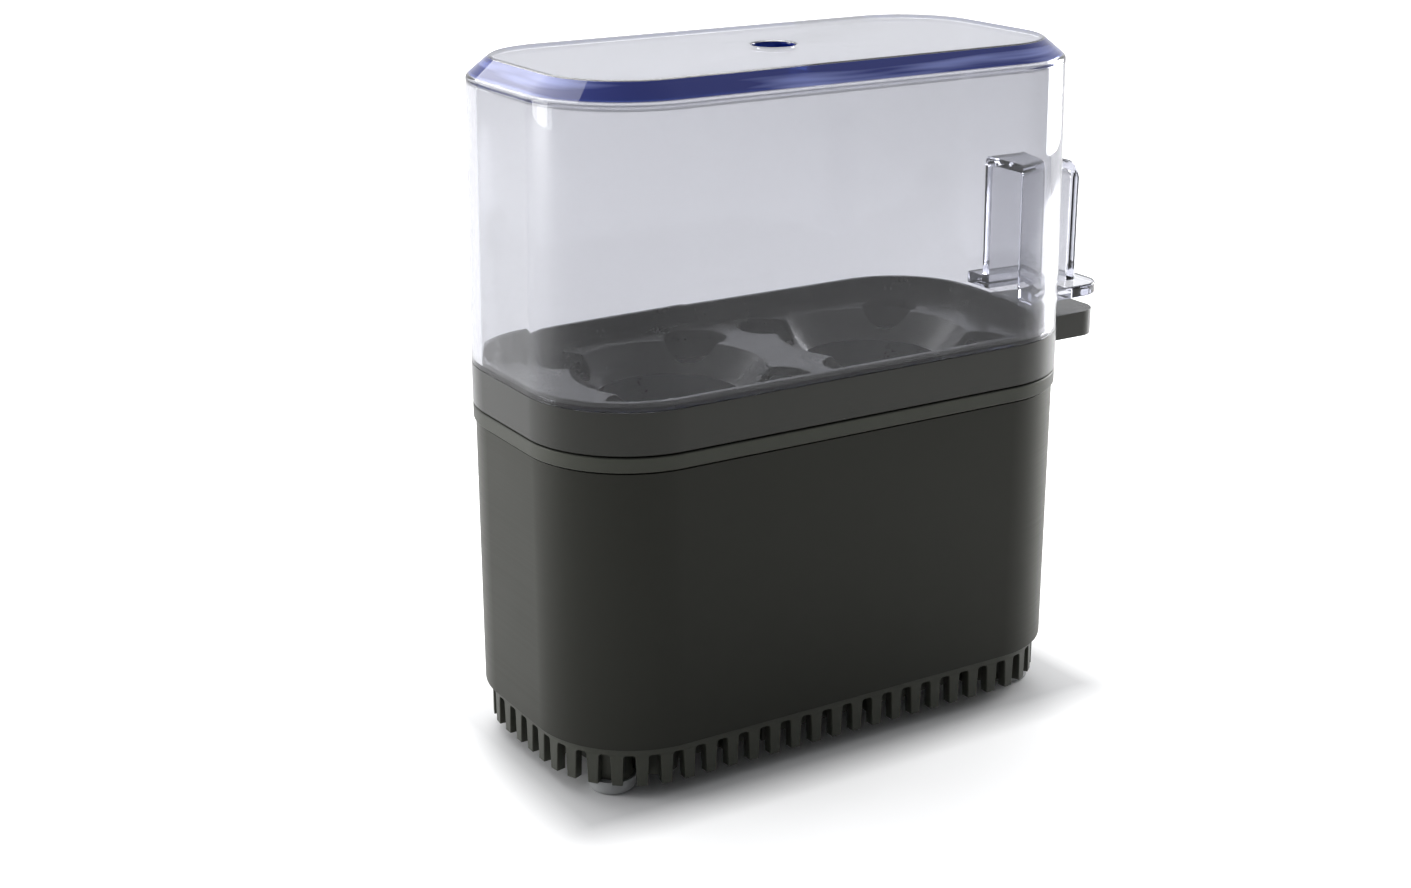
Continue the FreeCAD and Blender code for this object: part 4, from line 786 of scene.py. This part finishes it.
lid_draft, lid_wall = 0.9 * MM, 2.2 * MM
bevel_run, bevel_rise = 4.8 * MM, 4.0 * MM
shoulder = lid_high.z - bevel_rise
mouth = lid_low.z
roof = lid_high.z - 4.2 * MM
lid_profile = rounded_profile([
    (bevel_run + lid_draft + 6.0 * MM, lid_high.z, 0.0),
    (bevel_run + lid_draft, lid_high.z, 1.3 * MM),
    (lid_draft, shoulder, 1.0 * MM),
    (0.0, mouth, 0.3 * MM),
    (lid_wall, mouth, 0.3 * MM),
    (lid_draft + lid_wall, roof, 1.4 * MM),
    (lid_draft + lid_wall + 5.0 * MM, roof, 0.0),
])
print("rings in the lid's loft:", len(lid_profile))

# %% [markdown]
# The roof runs in to the round steam hole, so four more rings, plain circles with as many points
# as the outline, close the moulding into one tube that is folded back on itself.

# %% Loft the shell of the lid
def circle_like(ring, radius, z):
    """A circle of evenly spread points, one for each point of a ring."""
    angles = [2 * math.pi * (index + 0.5) / len(ring) for index in range(len(ring))]
    return [Vector((radius * math.cos(angle), radius * math.sin(angle), z)) for angle in angles]


corner_steps = 28
lid_rings = [outline_points(drawn_in(across), corner_steps, z) for across, z in lid_profile]
guide = lid_rings[0]
steam_radius, flare = 4.5 * MM, 0.6 * MM
hole_rings = [circle_like(guide, steam_radius, roof),
              circle_like(guide, steam_radius, lid_high.z - flare),
              circle_like(guide, steam_radius + flare * 0.3, lid_high.z - flare * 0.3),
              circle_like(guide, steam_radius + flare, lid_high.z)]
lid_shell = lofted("lid_shell", hole_rings + lid_rings)
print("lid shell faces:", len(lid_shell.data.polygons))

# %% [markdown]
# The grip stands on the outside of the end wall: a hollow block over a flat finger guard. Both
# start as boxes. One bevel makes the long round at the grip's outer top edge, a second takes the
# sharpness off the rest, and Boolean modifiers weld them to the shell and hollow the grip out.

# %% Grip and finger guard
def rounded_box(name, low, high, first_edges, first_radius, second_edges, second_radius):
    """A box with two sets of rounded edges, each picked by a test on the edge's middle."""
    shape = bmesh.new()
    bmesh.ops.create_cube(shape, size=1.0)
    for vertex in shape.verts:
        vertex.co = Vector([low[k] if vertex.co[k] < 0 else high[k] for k in range(3)])
    for test, radius, steps in ((first_edges, first_radius, 10), (second_edges, second_radius, 5)):
        chosen = [e for e in shape.edges if test((e.verts[0].co + e.verts[1].co) / 2, e)]
        bmesh.ops.bevel(shape, geom=chosen, offset=radius, segments=steps, profile=0.5,
                        affect="EDGES", clamp_overlap=True)
    bmesh.ops.recalc_face_normals(shape, faces=shape.faces)
    return made_of(shape, name)


near = 0.01 * MM
root_x = rim_half_length - lid_wall / 2
guard_low, grip_top = mouth + 1.5 * MM, mouth + 32.3 * MM
grip_end = rim_half_length + 15.1 * MM
grip_half, grip_wall = 7.5 * MM, 2.0 * MM


def grip_shape(name, low, high, top_round, side_round):
    """A block whose outer top edge has a long round, with smaller rounds down its sides."""
    return rounded_box(
        name, low, high,
        lambda mid, e: mid.x > high[0] - near and mid.z > high[2] - near and abs(mid.y) < near, top_round,
        lambda mid, e: abs(abs(mid.y) - high[1]) < near and mid.x > low[0] + near
        and mid.z > low[2] + near and abs(e.verts[0].co.y - e.verts[1].co.y) < near, side_round)


grip = grip_shape("grip", (root_x, -grip_half, guard_low), (grip_end, grip_half, grip_top),
                  4.6 * MM, 1.4 * MM)
room_half = grip_half - grip_wall
grip_room = grip_shape(
    "grip_room", (rim_half_length + 0.5 * MM, -room_half, guard_low - 1 * MM),
    (grip_end - grip_wall, room_half, grip_top - grip_wall), 2.6 * MM, 0.7 * MM)
guard_half, guard_end = 13.0 * MM, rim_half_length + 19.1 * MM
guard = rounded_box(
    "guard", (root_x, -guard_half, guard_low), (guard_end, guard_half, guard_low + 2.7 * MM),
    lambda mid, e: mid.x > guard_end - near and abs(e.verts[0].co.z - e.verts[1].co.z) > near, 6.0 * MM,
    lambda mid, e: abs(e.verts[0].co.z - e.verts[1].co.z) < near and mid.x > root_x + near, 0.45 * MM)
for tool, operation in ((grip, "UNION"), (guard, "UNION"), (grip_room, "DIFFERENCE")):
    cut_by(lid_shell, tool, operation)
baked(lid_shell)
for tool in (grip, guard, grip_room):
    bpy.data.objects.remove(tool)
stands_for(lid_shell, "lid")

# %% [markdown]
# ## The studio
#
# The cooker stands on a plain white table under soft lamps, as small appliances are usually shown.
# A clear lid has no colour of its own: it shows what is around it. So the room that the surfaces
# see is bright behind the cooker and dim on the near side, which leaves the dark body dark. The
# table and the room that the eye sees directly are lifted to white, and Light Path tells what the
# eye sees directly from what the surfaces see. On the table this is painted light: a glow that is
# weak at the foot of the cooker and grows further out. So the soft shadow round the foot is partly
# the lamps' real shadow and partly painted shade, where the painted glow is still faint.

# %% Table, room and lamps
def quad(name, corners, material):
    """A flat sheet from four corners."""
    mesh = bpy.data.meshes.new(name)
    mesh.from_pydata([tuple(c) for c in corners], [], [(0, 1, 2, 3)])
    mesh.materials.append(material)
    return placed(name, mesh)


table_finish = finish_of("white_table", (0.86, 0.86, 0.86), 0.6, grain=300, grain_depth=0.01,
                         colour_change=0.01, patches=3)
glow_tree, glow_shader, glow_place = found(table_finish)
past_wall = vectors(glow_tree, "SUBTRACT", vectors(glow_tree, "ABSOLUTE", glow_place),
                    (rim_half_length, rim_half_width, 0.0))
outside = vectors(glow_tree, "MAXIMUM", past_wall, (0.0, 0.0, 0.0))
away = vectors(glow_tree, "LENGTH", outside, gives="Value")
# Painted light on the table: a glow that stays faint at the cooker's foot, leaving painted shade there,
# and grows further out.
painted_glow_at_foot = ranged(glow_tree, away, 0.0, 0.012, 0.0, 0.52)
painted_glow_further_out = ranged(glow_tree, away, 0.010, 0.30, 0.0, 0.40)
only_seen = put(glow_tree, "ShaderNodeLightPath").outputs["Is Camera Ray"]
glow = maths(glow_tree, "MULTIPLY", maths(glow_tree, "ADD", painted_glow_at_foot, painted_glow_further_out), only_seen)
feed(glow_tree, glow_shader.inputs["Emission Color"], (1.0, 1.0, 1.0, 1.0))
feed(glow_tree, glow_shader.inputs["Emission Strength"], glow)
reach = 6.0
table = quad("table", [(-reach, -reach, 0), (reach, -reach, 0), (reach, reach, 0), (-reach, reach, 0)],
             table_finish)


def soft_lamp(name, place, aim, width, height, power):
    """A rectangular lamp that points from its place to an aim."""
    light = bpy.data.lights.new(name, "AREA")
    light.shape = "RECTANGLE"
    light.size, light.size_y = width, height
    light.energy = power
    lamp = placed(name, light)
    lamp.location = place
    lamp.visible_camera = False
    lamp.rotation_mode = "QUATERNION"
    lamp.rotation_quaternion = (Vector(aim) - Vector(place)).to_track_quat("-Z", "Y")


middle = (0.0, 0.0, 0.08)
soft_lamp("over_lamp", (0.12, 0.85, 1.0), (0.05, 0.35, 0.0), 1.3, 1.2, 15.0)
soft_lamp("left_card", (-0.75, 0.45, 0.25), middle, 0.35, 0.6, 3.0)
soft_lamp("right_card", (0.60, 0.05, 0.17), middle, 0.3, 0.3, 2.5)

room = bpy.data.worlds.new("room")
room.use_nodes = True
room_tree = room.node_tree
room_tree.nodes.clear()
direction = put(room_tree, "ShaderNodeTexCoord").outputs["Generated"]
towards_back = vectors(room_tree, "DOT_PRODUCT", direction, (0.15, 0.98, 0.1), gives="Value")
room_light = put(room_tree, "ShaderNodeBackground", Color=(0.96, 0.97, 1.0, 1.0),
                 Strength=ranged(room_tree, towards_back, -0.75, 0.7, 0.10, 0.95))
room_white = put(room_tree, "ShaderNodeBackground", Color=(1.0, 1.0, 1.0, 1.0))
seen_directly = put(room_tree, "ShaderNodeLightPath").outputs["Is Camera Ray"]
room_mix = joined(room_tree, "ShaderNodeMixShader", seen_directly, room_light.outputs["Background"],
                  room_white.outputs["Background"])
put(room_tree, "ShaderNodeOutputWorld", Surface=room_mix.outputs["Shader"])
bpy.context.scene.world = room
bpy.context.scene.view_settings.view_transform = "Standard"

# %% [markdown]
# ## The camera
#
# The view is from the front left and a little above, with a short telephoto lens, so that the
# long side and the end both show and the upright edges stay nearly parallel.

# %% Stand the camera up
view_turn, view_rise, view_roll = 31.31, 18.65, -0.14
turn, rise = math.radians(view_turn), math.radians(view_rise)
looking = Vector((math.sin(turn) * math.cos(rise), math.cos(turn) * math.cos(rise), -math.sin(rise)))
camera_data = bpy.data.cameras.new("camera")
camera_data.sensor_width = 36.0
camera_data.lens = 54.55
camera_data.clip_start, camera_data.clip_end = 0.01, 50.0
camera = placed("camera", camera_data)
camera.rotation_mode = "QUATERNION"
upright = looking.to_track_quat("-Z", "Y")
camera.rotation_quaternion = upright @ Matrix.Rotation(math.radians(view_roll), 3, "Z").to_quaternion()
camera.location = (-0.2429, -0.3720, 0.2098)
bpy.context.scene.camera = camera
print("camera is", round(camera.location.length, 3), "m from the middle of the table mark")
